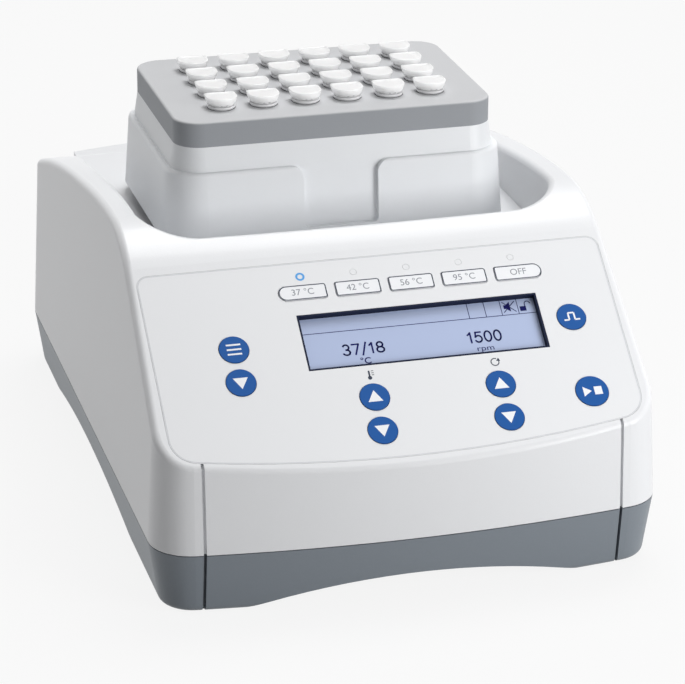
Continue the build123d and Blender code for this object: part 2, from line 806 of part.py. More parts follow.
def ring(x, y, z, outer, inner, height):
    return upright(x, y, z, outer, height) - upright(x, y, z - 1, inner, height + 2)


def make_drive_motor():
    x, y = drive_point()
    can = upright(x, y, bridge_z - motor_height, motor_radius, motor_height)
    flange = upright(x, y, bridge_z - motor_flange_height, motor_flange_radius, motor_flange_height)
    half, front = motor_terminal / 2, y - motor_radius
    terminal = slab(
        x - half, x + half, front - motor_terminal_proud, front + motor_terminal_proud,
        bridge_z - motor_terminal_low, bridge_z - motor_terminal_high,
    )
    return can + flange + terminal - upright(x, y, bridge_z - motor_bore_depth, motor_bore, motor_bore_depth + 1)


def make_drive_shaft():
    """Journal, web and offset pin in one piece."""
    x, y = drive_point()
    radius = shaft_radius - running_gap
    journal = upright(x, y, shaft_low_z, radius, shaft_web_z - shaft_low_z)
    web = upright(x, y, shaft_web_z, shaft_web_radius, shaft_web_height)
    pin_low, pin_top = shaft_web_z + shaft_web_height, table_z + table_thickness - seat_gap
    return journal + web + upright(x + orbit_radius, y, pin_low, radius, pin_top - pin_low)


def make_counterweight():
    """Half disc on the side away from the pin."""
    x, y = drive_point()
    low = bridge_z + bridge_thickness + 1
    disc = upright(x, y, low, weight_radius, shaft_web_z - low)
    disc = disc & slab(x - weight_radius, x - weight_hub / 4, y - weight_radius, y + weight_radius, low, shaft_web_z)
    disc = disc + upright(x, y, low, weight_hub, shaft_web_z - low)
    return disc - upright(x, y, low - 1, shaft_radius - running_gap + seat_gap, shaft_web_z - low + 2)


def make_idler(place):
    x, y = drive_point(place)
    journal = upright(x, y, idler_low_z, idler_radius - running_gap, idler_web_z - idler_low_z)
    web = upright(x, y, idler_web_z, idler_web_radius, idler_web_height)
    pin_low = idler_web_z + idler_web_height
    return journal + web + upright(x + orbit_radius, y, pin_low, idler_radius, idler_pin_top - pin_low)


def make_mixing_table():
    top = table_z + table_thickness
    plate = rounded_slab(
        -table_half_x, table_half_x, block_y - table_half_y, block_y + table_half_y, table_z, top, table_corner
    )
    x, y = drive_point()
    x += orbit_radius
    bores = [
        upright(x, y, top - bearing_height, bearing_radius + seat_gap, bearing_height + 1),
        upright(x, y, table_z - 1, bearing_radius - bearing_lip, table_thickness),
    ]
    for place in idler_places:
        x, y = drive_point(place)
        bores.append(upright(x + orbit_radius, y, table_z - 1, idler_radius + idler_pin_gap, table_thickness + 2))
    return plate - fuse(bores)


# Heated block and tubes
def middle_slab(half_x, half_y, z_low, z_high, corner):
    """A rounded block over the middle of the tube block."""
    return rounded_slab(-half_x, half_x, block_y - half_y, block_y + half_y, z_low, z_high, corner)


def make_heat_sink():
    plate = middle_slab(sink_half_x, sink_half_y, sink_top_z - sink_plate, sink_top_z, 2)
    pitch = (2 * sink_half_x - fin_thickness) / (fin_count - 1)
    shapes = [plate]
    for index in range(fin_count):
        x = -sink_half_x + index * pitch
        y = (block_y - sink_half_y, block_y + sink_half_y)
        shapes.append(slab(x, x + fin_thickness, *y, sink_low_z, sink_top_z - sink_plate))
    seat = table_z + table_thickness
    for x, y in corners(sink_half_x - sink_post_inset, sink_half_y - sink_post_inset, block_y):
        shapes.append(upright(x, y, seat, sink_post_radius, sink_top_z - sink_plate - seat))
    return fuse(shapes)


def make_peltiers():
    half = peltier_size / 2
    return [
        slab(x - half, x + half, block_y - half, block_y + half, sink_top_z, block_bottom_z)
        for x in (-half - 2, half + 2)
    ]


def tube_places():
    """Rows from the front, each a list of tube centres."""
    columns = [(column - (tube_columns - 1) / 2) * tube_pitch for column in range(tube_columns)]
    rows = [block_y + (row - (tube_rows - 1) / 2) * tube_pitch for row in range(tube_rows)]
    return [[(x, y) for x in columns] for y in rows]


def sensor_bar(radius, front_gap):
    """The sensor's place: a bore in the rear face of the block, below the wells."""
    rear = block_y + block_half_y
    return along_y(0, rear - sensor_depth + front_gap, rear - front_gap, (block_bottom_z + cover_low - well_depth) / 2, radius)


def make_thermoblock():
    block = middle_slab(block_half_x, block_half_y, block_bottom_z, cover_low, block_corner)
    gap = tube_hole_radius - tube_radius
    cone_low = tube_bottom_z - gap
    cone_top = tube_bottom_z + tube_cone_height - gap
    wells = []
    for x, y in sum(tube_places(), []):
        tip = Cone(tube_tip_radius + gap, tube_hole_radius, cone_top - cone_low)
        wells.append(Pos(x, y, (cone_low + cone_top) / 2) * tip)
        wells.append(upright(x, y, cone_top, tube_hole_radius, cover_low + 1 - cone_top))
    return block - Compound(children=wells) - sensor_bar(sensor_bore_radius, -1)


def make_insulation_jacket():
    low, high = block_bottom_z - 2, cover_low - frame_wall - block_gap
    inner_x, inner_y = block_half_x + block_gap, block_half_y + block_gap
    outer_x, outer_y = inner_x + jacket_thickness, inner_y + jacket_thickness
    jacket = middle_slab(outer_x, outer_y, low, high, block_corner + jacket_thickness)
    return jacket - middle_slab(inner_x, inner_y, low - 1, high + 1, block_corner)


def frame_plan(grow, z):
    """Plan of the block frame, starting from the cover's outline."""
    plan = RectangleRounded(cover_width + 2 * grow, cover_depth + 2 * grow, cover_corner + grow)
    return Pos(0, block_y, z) * plan


def frame_masses(inset):
    """Upper wall, the core it runs down to, and the skirt one step further out, all moved in by inset."""
    flare = math.tan(math.radians(frame_flare))
    lean = math.tan(math.radians(skirt_lean))
    upper_top, skirt_top = cover_low - inset, ledge_z - inset
    at_ledge = flare * (cover_low - ledge_z) - inset
    upper = extrude(frame_plan(flare * inset - inset, upper_top), -(upper_top - ledge_z), taper=-frame_flare)
    core = extrude(frame_plan(at_ledge, ledge_z), -(ledge_z - skirt_bottom_z), taper=-skirt_lean)
    skirt_plan = frame_plan(at_ledge + skirt_step + lean * inset, skirt_top)
    skirt = extrude(skirt_plan, -(skirt_top - skirt_bottom_z), taper=-skirt_lean)
    return upper, core, skirt


def notch_face(grow):
    """Front view of the hollow in the front of the skirt, rounded over at its mouth, larger by grow."""
    half, low, mouth = notch_width / 2 + grow, notch_bottom_z - grow, ledge_z - grow
    far, top = half + 2 * notch_shoulder, ledge_z + notch_shoulder
    outline = Polyline(
        (-far, top), (-far, mouth), (-half, mouth), (-half, low),
        (half, low), (half, mouth), (far, mouth), (far, top), close=True,
    )
    corners_low = make_face(outline).vertices().sort_by(Axis.Y)[:2]
    face = fillet(corners_low, notch_round)
    mouth_corners = [v for v in face.vertices() if abs(abs(v.X) - half) < 0.01 and abs(v.Y - mouth) < 0.01]
    return fillet(mouth_corners, notch_shoulder - grow)


def make_block_frame():
    upper, core, skirt = frame_masses(0)
    outer_edges = [edge for edge in skirt.edges() if edge.bounding_box().min.Z > ledge_z - 0.1]
    skirt = fillet(outer_edges, skirt_round)
    front = block_y - cover_depth / 2
    notch = Pos(0, front + notch_depth, 0) * extrude(Plane.XZ * notch_face(0), cover_depth)
    guard_y = front + notch_depth + frame_wall
    guard = Pos(0, guard_y, 0) * extrude(Plane.XZ * notch_face(frame_wall), cover_depth)
    hollow_upper, hollow_core, hollow_skirt = frame_masses(frame_wall)
    frame = upper + core + (skirt - notch)
    frame = frame - hollow_upper - hollow_core - (hollow_skirt - guard)
    inner_x, inner_y = block_half_x + block_gap, block_half_y + block_gap
    return frame - middle_slab(inner_x, inner_y, cover_low - 2 * frame_wall, cover_low + 1, block_corner)


def make_cover_plate():
    plate = extrude(frame_plan(0, cover_low), cover_thickness)
    plate = fillet(plate.faces().sort_by(Axis.Z)[-1].edges(), cover_round)
    holes = [upright(x, y, cover_low - 1, tube_hole_radius, cover_thickness + 2) for x, y in sum(tube_places(), [])]
    return plate - Compound(children=holes)


def make_tube():
    """One tube at the origin in plan: cone, barrel, flange and hinge lug, turned from one profile."""
    seat = cover_top_z + tube_seat
    mouth = seat + flange_height
    profile = Polyline(
        (0, tube_bottom_z), (tube_tip_radius, tube_bottom_z), (tube_radius, tube_bottom_z + tube_cone_height),
        (tube_radius, seat), (flange_radius, seat), (flange_radius, mouth),
        (tube_radius - tube_wall, mouth), (tube_radius - tube_wall, mouth - tube_mouth_depth),
        (0, mouth - tube_mouth_depth), close=True,
    )
    tube = revolve(Plane.XZ * make_face(profile), Axis.Z)
    lug = slab(-hinge_width / 2, hinge_width / 2, tube_radius, hinge_back, seat, mouth)
    return tube + lug


def lid_outline():
    """Top of a lid: round in front, and straight across at the rear."""
    outline = Circle(lid_radius) + Pos(0, lid_back / 2) * Rectangle(2 * lid_radius, lid_back)
    outline = outline & Pos(0, lid_back - lid_radius) * Rectangle(2 * lid_radius, 2 * lid_radius)
    return fillet(outline.vertices().sort_by(Axis.Y)[-2:], lid_corner)


def make_lid():
    """One lid at the origin in plan: cap narrowing downwards, plug and rear strap."""
    low = cover_top_z + tube_seat + flange_height + lid_gap
    cap = extrude(Pos(0, 0, lid_top_z) * lid_outline(), low - lid_top_z, taper=lid_lean)
    plug_radius = tube_radius - tube_wall - lid_plug_gap
    plug = upright(0, 0, low - lid_gap - lid_plug_depth, plug_radius, lid_plug_depth + lid_gap)
    strap = slab(-hinge_width / 2, hinge_width / 2, 0, hinge_back, low, low + lid_strap_height)
    return cap + plug + strap


# Fan and mains inlet
def make_fan_housing():
    half = fan_size / 2
    front = fan_rear_y - fan_depth
    frame = slab(fan_x - half, fan_x + half, front, fan_rear_y, fan_z - half, fan_z + half)
    frame = fillet([edge for edge in frame.edges() if edge.bounding_box().size.Y > fan_depth / 2], fan_corner)
    frame = frame - along_y(fan_x, front - 1, fan_rear_y + 1, fan_z, fan_bore)
    spider = [along_y(fan_x, fan_rear_y - fan_spider, fan_rear_y, fan_z, fan_hub - 1)]
    spider.append(along_y(fan_x, front + 3 * fan_rotor_gap, fan_rear_y, fan_z, fan_stub))
    for index in range(4):
        arm = Box(fan_bore + 1, fan_spider, fan_spider_width, align=(Align.MIN, Align.MAX, Align.CENTER))
        spider.append(Pos(fan_x, fan_rear_y, fan_z) * Rot(Y=45 + 90 * index) * arm)
    frame = frame + fuse(spider)
    return frame - fuse([along_y(x, front - 1, fan_rear_y + 1, z, fan_hole) for x, z in fan_corners()])


def make_fan_rotor():
    low, high = fan_rear_y - fan_depth + fan_rotor_gap, fan_rear_y - fan_spider - fan_rotor_gap / 2
    middle = (low + high) / 2
    rotor = along_y(fan_x, low, high, fan_z, fan_hub)
    for index in range(fan_blades):
        reach = fan_blade_radius - fan_hub + 1
        blade = Box(reach, fan_blade_thickness, fan_blade_chord, align=(Align.MIN, Align.CENTER, Align.CENTER))
        turned = Pos(fan_hub - 1, 0, 0) * Rot(X=fan_blade_pitch + 90) * blade
        rotor = rotor + Pos(fan_x, middle, fan_z) * Rot(Y=index * 360 / fan_blades) * turned
    return rotor - along_y(fan_x, low + 1.5 * fan_rotor_gap, high + 1, fan_z, fan_stub + running_gap)


def inlet_place(x, y, z):
    return Pos(inlet_x + x, y, inlet_z + z)


def make_mains_inlet():
    flange = inlet_box(0, inlet_seat_y, inlet_face_y)
    flange = fillet([edge for edge in flange.edges() if edge.bounding_box().size.Y > 1], 2)
    inlet = flange + inlet_box(-inlet_body_margin, inlet_back_y, inlet_seat_y)
    socket = chamfer(Rectangle(socket_width, socket_height).vertices().sort_by(Axis.Y)[-2:], socket_corner)
    inlet = inlet - inlet_place(socket_x, inlet_face_y + 1, socket_z) * Rot(X=90) * extrude(socket, socket_depth + 1)
    bottom = inlet_face_y - socket_depth
    for x, z in pin_places:
        pin = Box(pin_width, pin_length + 1, pin_height, align=(Align.CENTER, Align.MIN, Align.CENTER))
        inlet = inlet + inlet_place(socket_x + x, bottom - 1, socket_z + z) * pin
    bay = Box(drawer_width, drawer_depth + 1, drawer_height, align=(Align.CENTER, Align.MAX, Align.CENTER))
    inlet = inlet - inlet_place(socket_x, inlet_face_y + 1, drawer_z) * bay
    bay = Box(rocker_width, rocker_depth + 1, rocker_height, align=(Align.CENTER, Align.MAX, Align.CENTER))
    inlet = inlet - inlet_place(rocker_x, inlet_face_y + 1, 0) * bay
    hole = Cylinder(rocker_pin_radius + rocker_pin_gap, rocker_width + 2.4)
    return inlet - inlet_place(rocker_x, rocker_pivot_y, 0) * Rot(Y=90) * hole


def make_fuse_drawer():
    width, height = drawer_width - 2 * drawer_gap, drawer_height - 2 * drawer_gap
    depth = drawer_depth - drawer_gap + drawer_lip
    drawer = Box(width, depth, height, align=(Align.CENTER, Align.MAX, Align.CENTER))
    pocket = Box(
        width - drawer_wall, depth - 2 * drawer_wall - drawer_lip, height, align=(Align.CENTER, Align.MAX, Align.MIN)
    )
    pocket = Pos(0, -drawer_lip - drawer_wall, 0) * pocket
    return inlet_place(socket_x, inlet_face_y + drawer_lip, drawer_z) * (drawer - pocket)


def make_power_rocker():
    """A shallow V rocking on cross pins, resting on its lower side."""
    half = rocker_height / 2 - rocker_end_gap
    profile = Polyline(
        (rocker_face, -half), (rocker_waist, 0), (rocker_face, half),
        (-rocker_back, half / 2), (-rocker_back, -half / 2), close=True,
    )
    rocker = extrude(Plane.YZ * make_face(profile), rocker_width / 2 - rocker_side_gap, both=True)
    rocker = rocker + Rot(Y=90) * Cylinder(rocker_pin_radius, rocker_width + 2)
    return inlet_place(rocker_x, rocker_pivot_y, 0) * Rot(X=rocker_tilt) * rocker


# Electronics
def make_power_supply():
    half_x, half_y = supply_width / 2, supply_depth / 2
    top = chassis_top + supply_height
    case = slab(supply_x - half_x, supply_x + half_x, supply_y - half_y, supply_y + half_y, chassis_top, top)
    slot_half, slot_y = supply_slot_width / 2, half_y - supply_slot_inset
    for index in range(supply_slots):
        x = supply_x - half_x + supply_slot_first + index * supply_slot_pitch
        slot_x = (x - slot_half, x + slot_half)
        case = case - slab(*slot_x, supply_y - slot_y, supply_y + slot_y, top - supply_slot_depth, top + 1)
    step_x, step_y = (supply_x - half_x - 1, supply_x + half_x + 1), supply_y + half_y
    return case - slab(*step_x, step_y - supply_step_depth, step_y + 1, top - supply_step_height, top + 1)


def make_main_board():
    low = chassis_top + main_board_lift
    half_x, half_y = main_board_width / 2, main_board_depth / 2
    top = low + board_thickness
    shapes = [slab(-half_x, half_x, main_board_y - half_y, main_board_y + half_y, low, top)]
    for x, y in corners(half_x - main_board_post_inset, half_y - main_board_post_inset, main_board_y):
        shapes.append(upright(x, y, chassis_top, small_post_radius, main_board_lift))
    for index in range(capacitor_count):
        x = capacitor_pitch * index - half_x / 1.5
        shapes.append(upright(x, main_board_y - half_y / 2, top, capacitor_radius, capacitor_height))
    for x_low, x_high, y_low, y_high, rise in main_board_blocks:
        shapes.append(slab(x_low, x_high, main_board_y + y_low, main_board_y + y_high, top, top + rise))
    return fuse(shapes)


def build():
    """Every node with its shape, or its list of separate solids."""
    nodes = {
        "upper_housing": make_upper_housing(),
        "base_housing": make_base_housing(),
        "rubber_feet": make_rubber_feet(),
        "housing_screws": make_housing_screws(),
        "control_foil": make_control_foil(),
        "key_switches": make_key_switches(),
        "key_lamps": make_key_lamps(),
        "display_bezel": make_display_bezel(),
        "lcd_screen": make_lcd_screen(),
        "control_board": make_control_board(),
        "inner_screws": make_inner_screws(),
        "chassis_plate": make_chassis_plate(),
        "bridge_pillars": make_bridge_pillars(),
        "bearing_bridge": make_bearing_bridge(),
        "drive_motor": make_drive_motor(),
        "motor_bearing": ring(*drive_point(), bridge_z, bearing_radius, shaft_radius, bearing_height),
        "drive_shaft": make_drive_shaft(),
        "counterweight": make_counterweight(),
        "mixing_table": make_mixing_table(),
        "heat_sink": make_heat_sink(),
        "peltier_elements": make_peltiers(),
        "thermoblock": make_thermoblock(),
        "insulation_jacket": make_insulation_jacket(),
        "temperature_sensor": sensor_bar(sensor_radius, sensor_end_gap),
        "block_frame": make_block_frame(),
        "cover_plate": make_cover_plate(),
        "fan_housing": make_fan_housing(),
        "fan_rotor": make_fan_rotor(),
        "mains_inlet": make_mains_inlet(),
        "fuse_drawer": make_fuse_drawer(),
        "power_rocker": make_power_rocker(),
        "power_supply": make_power_supply(),
        "main_board": make_main_board(),
    }
    nodes.update(make_keys())
    nodes["idler_bearings"] = [
        ring(*drive_point(place), bridge_z, idler_bearing_radius, idler_radius, bearing_height)
        for place in idler_places
    ]
    for index, place in enumerate(idler_places):
        nodes[f"idler_crank_{index + 1}"] = make_idler(place)
    table_bearing_z = table_z + table_thickness - bearing_height
    nodes["table_bearing"] = ring(0, block_y, table_bearing_z, bearing_radius, shaft_radius, bearing_height)
    tube, lid = make_tube(), make_lid()
    rows = tube_places()
    nodes["sample_tubes"] = [Pos(x, y, 0) * tube for row in rows for x, y in row]
    for index, row in enumerate(rows):
        nodes[f"tube_lids_row_{index + 1}"] = [Pos(x, y, 0) * lid for x, y in row]
    return nodes


os.makedirs("parts", exist_ok=True)
for node, shape in build().items():
    solids = [solid for piece in shape for solid in piece.solids()] if isinstance(shape, list) else shape.solids()
    whole = solids[0] if len(solids) == 1 else Compound(children=list(solids))
    export_step(whole, f"parts/{node}.step")
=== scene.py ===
import math
import bpy
import numpy as np
from mathutils import Matrix, Vector


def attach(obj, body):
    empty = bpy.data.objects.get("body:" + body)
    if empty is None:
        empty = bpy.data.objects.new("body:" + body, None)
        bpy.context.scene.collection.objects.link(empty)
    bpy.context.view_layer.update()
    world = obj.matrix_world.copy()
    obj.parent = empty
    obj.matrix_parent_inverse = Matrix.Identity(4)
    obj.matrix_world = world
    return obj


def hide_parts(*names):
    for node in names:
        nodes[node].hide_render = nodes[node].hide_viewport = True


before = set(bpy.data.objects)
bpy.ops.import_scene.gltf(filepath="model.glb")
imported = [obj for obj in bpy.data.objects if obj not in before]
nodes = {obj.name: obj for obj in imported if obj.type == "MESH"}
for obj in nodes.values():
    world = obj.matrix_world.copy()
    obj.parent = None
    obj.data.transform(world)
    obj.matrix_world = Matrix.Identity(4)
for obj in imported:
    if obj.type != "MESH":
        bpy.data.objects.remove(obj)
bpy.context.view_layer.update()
print("stage: frame loaded,", len(nodes), "nodes")

# camera and light
cameraSetup = {
    "target": (0.0065, -0.0106, 0.05284),
    "azimuth": -15.097,
    "elevation": 21.870,
    "distance": 1.31989,
    "roll": 0.089,
    "lens": 163.0,
    "sensor": 36.0,
}
lightSetup = {
    # name: position, aim, size, power in watts, colour
    "keyRight": ((0.50, -0.70, 0.24), (0.02, -0.10, 0.08), 0.42, 4.5, (1.0, 1.0, 1.0)),
    "leftBack": ((-1.20, 0.80, 0.60), (0.0, 0.0, 0.06), 0.9, 3.0, (1.0, 1.0, 1.0)),
    "overhead": ((0.30, 0.45, 1.40), (0.0, 0.0, 0.06), 0.8, 15.2, (1.0, 1.0, 1.0)),
}
worldStrength = 0.22


def addCamera(setup):
    # stands off the target by the distance along the azimuth and elevation, then rolls about that line
    az, el = math.radians(setup["azimuth"]), math.radians(setup["elevation"])
    back = np.array((math.sin(az) * math.cos(el), -math.cos(az) * math.cos(el), math.sin(el)))
    place = np.array(setup["target"]) + back * setup["distance"]
    right = np.array((math.cos(az), math.sin(az), 0.0))
    up = np.cross(back, right)
    roll = math.radians(setup["roll"])
    turnedRight = right * math.cos(roll) + up * math.sin(roll)
    turnedUp = up * math.cos(roll) - right * math.sin(roll)
    data = bpy.data.cameras.new("camera")
    data.lens, data.sensor_width, data.sensor_fit = setup["lens"], setup["sensor"], "HORIZONTAL"
    data.clip_start, data.clip_end = 0.05, 20.0
    camera = bpy.data.objects.new("camera", data)
    bpy.context.scene.collection.objects.link(camera)
    matrix = np.eye(4)
    matrix[:3, 0], matrix[:3, 1], matrix[:3, 2], matrix[:3, 3] = turnedRight, turnedUp, back, place
    camera.matrix_world = Matrix(matrix.tolist())
    bpy.context.scene.camera = camera
    return camera


def addLights(setup):
    # square lamps that point from their place to their aim
    for name, (place, target, size, watts, colour) in setup.items():
        data = bpy.data.lights.new(name, "AREA")
        data.shape, data.size, data.energy, data.color = "SQUARE", size, watts, colour
        lamp = bpy.data.objects.new(name, data)
        lamp.location = place
        aim = Vector(target) - Vector(place)
        lamp.rotation_euler = aim.to_track_quat("-Z", "Y").to_euler()
        lamp.visible_camera = False
        bpy.context.scene.collection.objects.link(lamp)


def seenRays(tree):
    # one for rays from the camera, a reflection or a clear piece, nought for light on the object
    path = tree.nodes.new("ShaderNodeLightPath")
    total = path.outputs["Is Camera Ray"]
    for name in ("Is Glossy Ray", "Is Transmission Ray"):
        add = tree.nodes.new("ShaderNodeMath")
        add.operation, add.use_clamp = "ADD", True
        tree.links.new(total, add.inputs[0])
        tree.links.new(path.outputs[name], add.inputs[1])
        total = add.outputs[0]
    return total


def setWorld(strength):
    # the camera and reflections see white; the object is lit by a plain grey
    world = bpy.data.worlds.new("world")
    bpy.context.scene.world = world
    world.use_nodes = True
    tree = world.node_tree
    tree.nodes.clear()
    out = tree.nodes.new("ShaderNodeOutputWorld")
    mix = tree.nodes.new("ShaderNodeMixShader")
    tree.links.new(seenRays(tree), mix.inputs[0])
    for slot, amount in ((1, strength), (2, 1.0)):
        sky = tree.nodes.new("ShaderNodeBackground")
        sky.inputs["Color"].default_value = (1, 1, 1, 1)
        sky.inputs["Strength"].default_value = amount
        tree.links.new(sky.outputs[0], mix.inputs[slot])
    tree.links.new(mix.outputs[0], out.inputs[0])


addCamera(cameraSetup)
addLights(lightSetup)
setWorld(worldStrength)
bpy.context.scene.view_settings.view_transform = "Standard"
print("stage: camera and lights")

# materials: a pattern and two close colours, then low and high roughness, grain size, bump, metal and coat
finishes = {
    "whiteShell": ("moulded", (0.800, 0.808, 0.824), (0.775, 0.784, 0.803),
     0.34, 0.44, 1100.0, 0.10, 0.0, 0.10),
    "greyShell": ("moulded", (0.205, 0.232, 0.262), (0.185, 0.211, 0.240),
     0.38, 0.48, 1100.0, 0.10, 0.0, 0.0),
    "panelFilm": ("film", (0.800, 0.808, 0.824), (0.780, 0.789, 0.806),
     0.38, 0.46, 2600.0, 0.08, 0.0, 0.0),
    "coverGrey": ("moulded", (0.335, 0.350, 0.372), (0.312, 0.327, 0.349),
     0.48, 0.58, 1500.0, 0.04, 0.0, 0.0),
    "frameWhite": ("moulded", (0.830, 0.846, 0.866), (0.808, 0.825, 0.846),
     0.34, 0.44, 1000.0, 0.06, 0.0, 0.0),
    "keyBlue": ("film", (0.006, 0.092, 0.345), (0.005, 0.082, 0.318),
     0.46, 0.54, 2400.0, 0.03, 0.0, 0.0),
    "keyPale": ("film", (0.870, 0.880, 0.905), (0.850, 0.862, 0.888),
     0.40, 0.48, 2400.0, 0.05, 0.0, 0.0),
    "lampClear": ("film", (0.790, 0.800, 0.816), (0.772, 0.783, 0.800),
     0.36, 0.42, 900.0, 0.0, 0.0, 0.0),
    "bezelDark": ("moulded", (0.007, 0.011, 0.034), (0.009, 0.014, 0.040),
     0.50, 0.60, 1300.0, 0.03, 0.0, 0.0),
    "screenPale": ("pixels", (0.430, 0.510, 0.730), (0.450, 0.530, 0.750),
     0.16, 0.20, 2500.0, 0.0, 0.0, 0.3),
    "printInk": ("film", (0.007, 0.008, 0.095), (0.009, 0.010, 0.110),
     0.60, 0.66, 1500.0, 0.0, 0.0, 0.0),
    "outlineInk": ("film", (0.045, 0.056, 0.085), (0.056, 0.068, 0.100),
     0.60, 0.66, 1500.0, 0.0, 0.0, 0.0),
    "greyInk": ("film", (0.235, 0.250, 0.285), (0.260, 0.275, 0.310),
     0.46, 0.52, 1500.0, 0.0, 0.0, 0.0),
    "paleInk": ("film", (0.610, 0.622, 0.650), (0.585, 0.600, 0.630),
     0.44, 0.52, 1500.0, 0.0, 0.0, 0.0),
    # painted shade: grey of the small marks beside each lid's tab, standing in for the shade of its notches
    "gripShade": ("moulded", (0.600, 0.605, 0.620), (0.560, 0.566, 0.582),
     0.30, 0.40, 700.0, 0.01, 0.0, 0.0),
    "whiteInk": ("film", (0.870, 0.880, 0.905), (0.850, 0.860, 0.890),
     0.42, 0.48, 1500.0, 0.0, 0.0, 0.0),
    "lampBlue": ("film", (0.060, 0.330, 0.740), (0.080, 0.370, 0.780),
     0.32, 0.38, 1500.0, 0.0, 0.0, 0.0),
    "tubePlastic": ("moulded", (0.930, 0.932, 0.937), (0.915, 0.918, 0.925),
     0.28, 0.36, 400.0, 0.008, 0.0, 0.0),
    "barrelPlastic": ("moulded", (0.880, 0.882, 0.890), (0.862, 0.866, 0.876),
     0.26, 0.34, 400.0, 0.008, 0.0, 0.0),
    "rubberBlack": ("moulded", (0.022, 0.022, 0.024), (0.032, 0.032, 0.034),
     0.68, 0.85, 1600.0, 0.30, 0.0, 0.0),
    "plasticBlack": ("moulded", (0.020, 0.020, 0.022), (0.028, 0.028, 0.031),
     0.34, 0.50, 1300.0, 0.14, 0.0, 0.0),
    # dark grey of the painted shadow rings round the tube holes
    "holeShade": ("moulded", (0.060, 0.063, 0.070), (0.078, 0.081, 0.090),
     0.60, 0.72, 1500.0, 0.10, 0.0, 0.0),
    "steelTurned": ("turned", (0.560, 0.570, 0.580), (0.470, 0.480, 0.492),
     0.22, 0.36, 2200.0, 0.06, 1.0, 0.0),
    "steelFolded": ("brushed", (0.540, 0.550, 0.560), (0.450, 0.460, 0.475),
     0.32, 0.48, 260.0, 0.06, 1.0, 0.0),
    "aluminiumCut": ("brushed", (0.700, 0.705, 0.715), (0.610, 0.618, 0.630),
     0.26, 0.42, 420.0, 0.08, 1.0, 0.0),
    "boardGreen": ("board", (0.010, 0.100, 0.042), (0.020, 0.150, 0.066),
     0.34, 0.42, 420.0, 0.05, 0.0, 0.2),
    "ceramicWhite": ("moulded", (0.780, 0.780, 0.760), (0.740, 0.740, 0.722),
     0.50, 0.62, 900.0, 0.06, 0.0, 0.0),
    "foamGrey": ("foam", (0.090, 0.092, 0.098), (0.130, 0.132, 0.138),
     0.80, 0.92, 900.0, 0.60, 0.0, 0.0),
    "brass": ("turned", (0.720, 0.520, 0.230), (0.640, 0.450, 0.190),
     0.26, 0.38, 1800.0, 0.05, 1.0, 0.0),
}
finishExtras = {
    # further shader values that are the same all over the surface
    "coverGrey": {"Specular IOR Level": 0.25},
    "bezelDark": {"Specular IOR Level": 0.12},
    "printInk": {"Specular IOR Level": 0.10},
    "outlineInk": {"Specular IOR Level": 0.15},
    "keyBlue": {"Specular IOR Level": 0.22},
    "tubePlastic": {"Subsurface Weight": 1.0, "Subsurface Radius": (1.0, 1.0, 1.0),
                    "Subsurface Scale": 0.006},
}
paintedTopSheen = {
    # painted sheen: a lighter second colour above a height in metres, standing in for the overhead light on
    # the top face, with the height over which it comes in
    "coverGrey": ((0.560, 0.566, 0.580), 0.1602, 0.0006),
}
patternStretch = {
    # how far the grain is drawn out along x, y and z
    "moulded": (1.0, 1.0, 1.0), "film": (1.0, 1.0, 1.0), "pixels": (1.0, 1.0, 1.0),
    "turned": (0.15, 0.15, 1.0), "brushed": (0.06, 1.0, 1.0), "board": (1.0, 1.0, 1.0),
    "foam": (1.0, 1.0, 1.0),
}
driftSize = 9.0                 # broad, faint change of tone over about a hand's width
fineShare, driftShare = 0.6, 0.4          # how much of the grain and of the drift goes into the tone
bumpHeight = 0.0002                       # metres


def grain(tree, kind, size):
    # fine structure of a finish on object coordinates, as a grey value
    place = tree.nodes.new("ShaderNodeTexCoord").outputs["Object"]
    mapping = tree.nodes.new("ShaderNodeMapping")
    mapping.inputs["Scale"].default_value = patternStretch[kind]
    tree.links.new(place, mapping.inputs["Vector"])
    if kind == "foam":
        texture = tree.nodes.new("ShaderNodeTexVoronoi")
        value = texture.outputs["Distance"]
    elif kind == "board":
        # copper tracks under the mask: stepped bands
        texture = tree.nodes.new("ShaderNodeTexBrick")
        texture.inputs["Color1"].default_value = (0, 0, 0, 1)
        texture.inputs["Color2"].default_value = (0.35, 0.35, 0.35, 1)
        texture.inputs["Mortar"].default_value = (1, 1, 1, 1)
        texture.inputs["Mortar Size"].default_value = 0.03
        value = texture.outputs["Color"]
    elif kind == "pixels":
        # rows and columns of a liquid crystal display
        texture = tree.nodes.new("ShaderNodeTexBrick")
        texture.offset = 0.0
        texture.inputs["Color1"].default_value = (0.5, 0.5, 0.5, 1)
        texture.inputs["Color2"].default_value = (0.56, 0.56, 0.56, 1)
        texture.inputs["Mortar"].default_value = (0, 0, 0, 1)
        texture.inputs["Mortar Size"].default_value = 0.04
        texture.inputs["Brick Width"].default_value = 1.0
        texture.inputs["Row Height"].default_value = 1.0
        value = texture.outputs["Color"]
    else:
        texture = tree.nodes.new("ShaderNodeTexNoise")
        texture.inputs["Detail"].default_value = 3.0
        value = texture.outputs["Fac"]
    texture.inputs["Scale"].default_value = size
    tree.links.new(mapping.outputs[0], texture.inputs["Vector"])
    return place, value


def addPaintedTopSheen(tree, place, colour, tint, height, reach):
    # share of the painted sheen colour grows in a line from height to height plus reach
    split = tree.nodes.new("ShaderNodeSeparateXYZ")
    tree.links.new(place, split.inputs[0])
    share = tree.nodes.new("ShaderNodeMapRange")
    share.inputs["From Min"].default_value = height
    share.inputs["From Max"].default_value = height + reach
    tree.links.new(split.outputs["Z"], share.inputs["Value"])
    mix = tree.nodes.new("ShaderNodeMix")
    mix.data_type = "RGBA"
    mix.inputs["B"].default_value = (*tint, 1.0)
    tree.links.new(share.outputs["Result"], mix.inputs["Factor"])
    tree.links.new(colour, mix.inputs["A"])
    return mix.outputs["Result"]


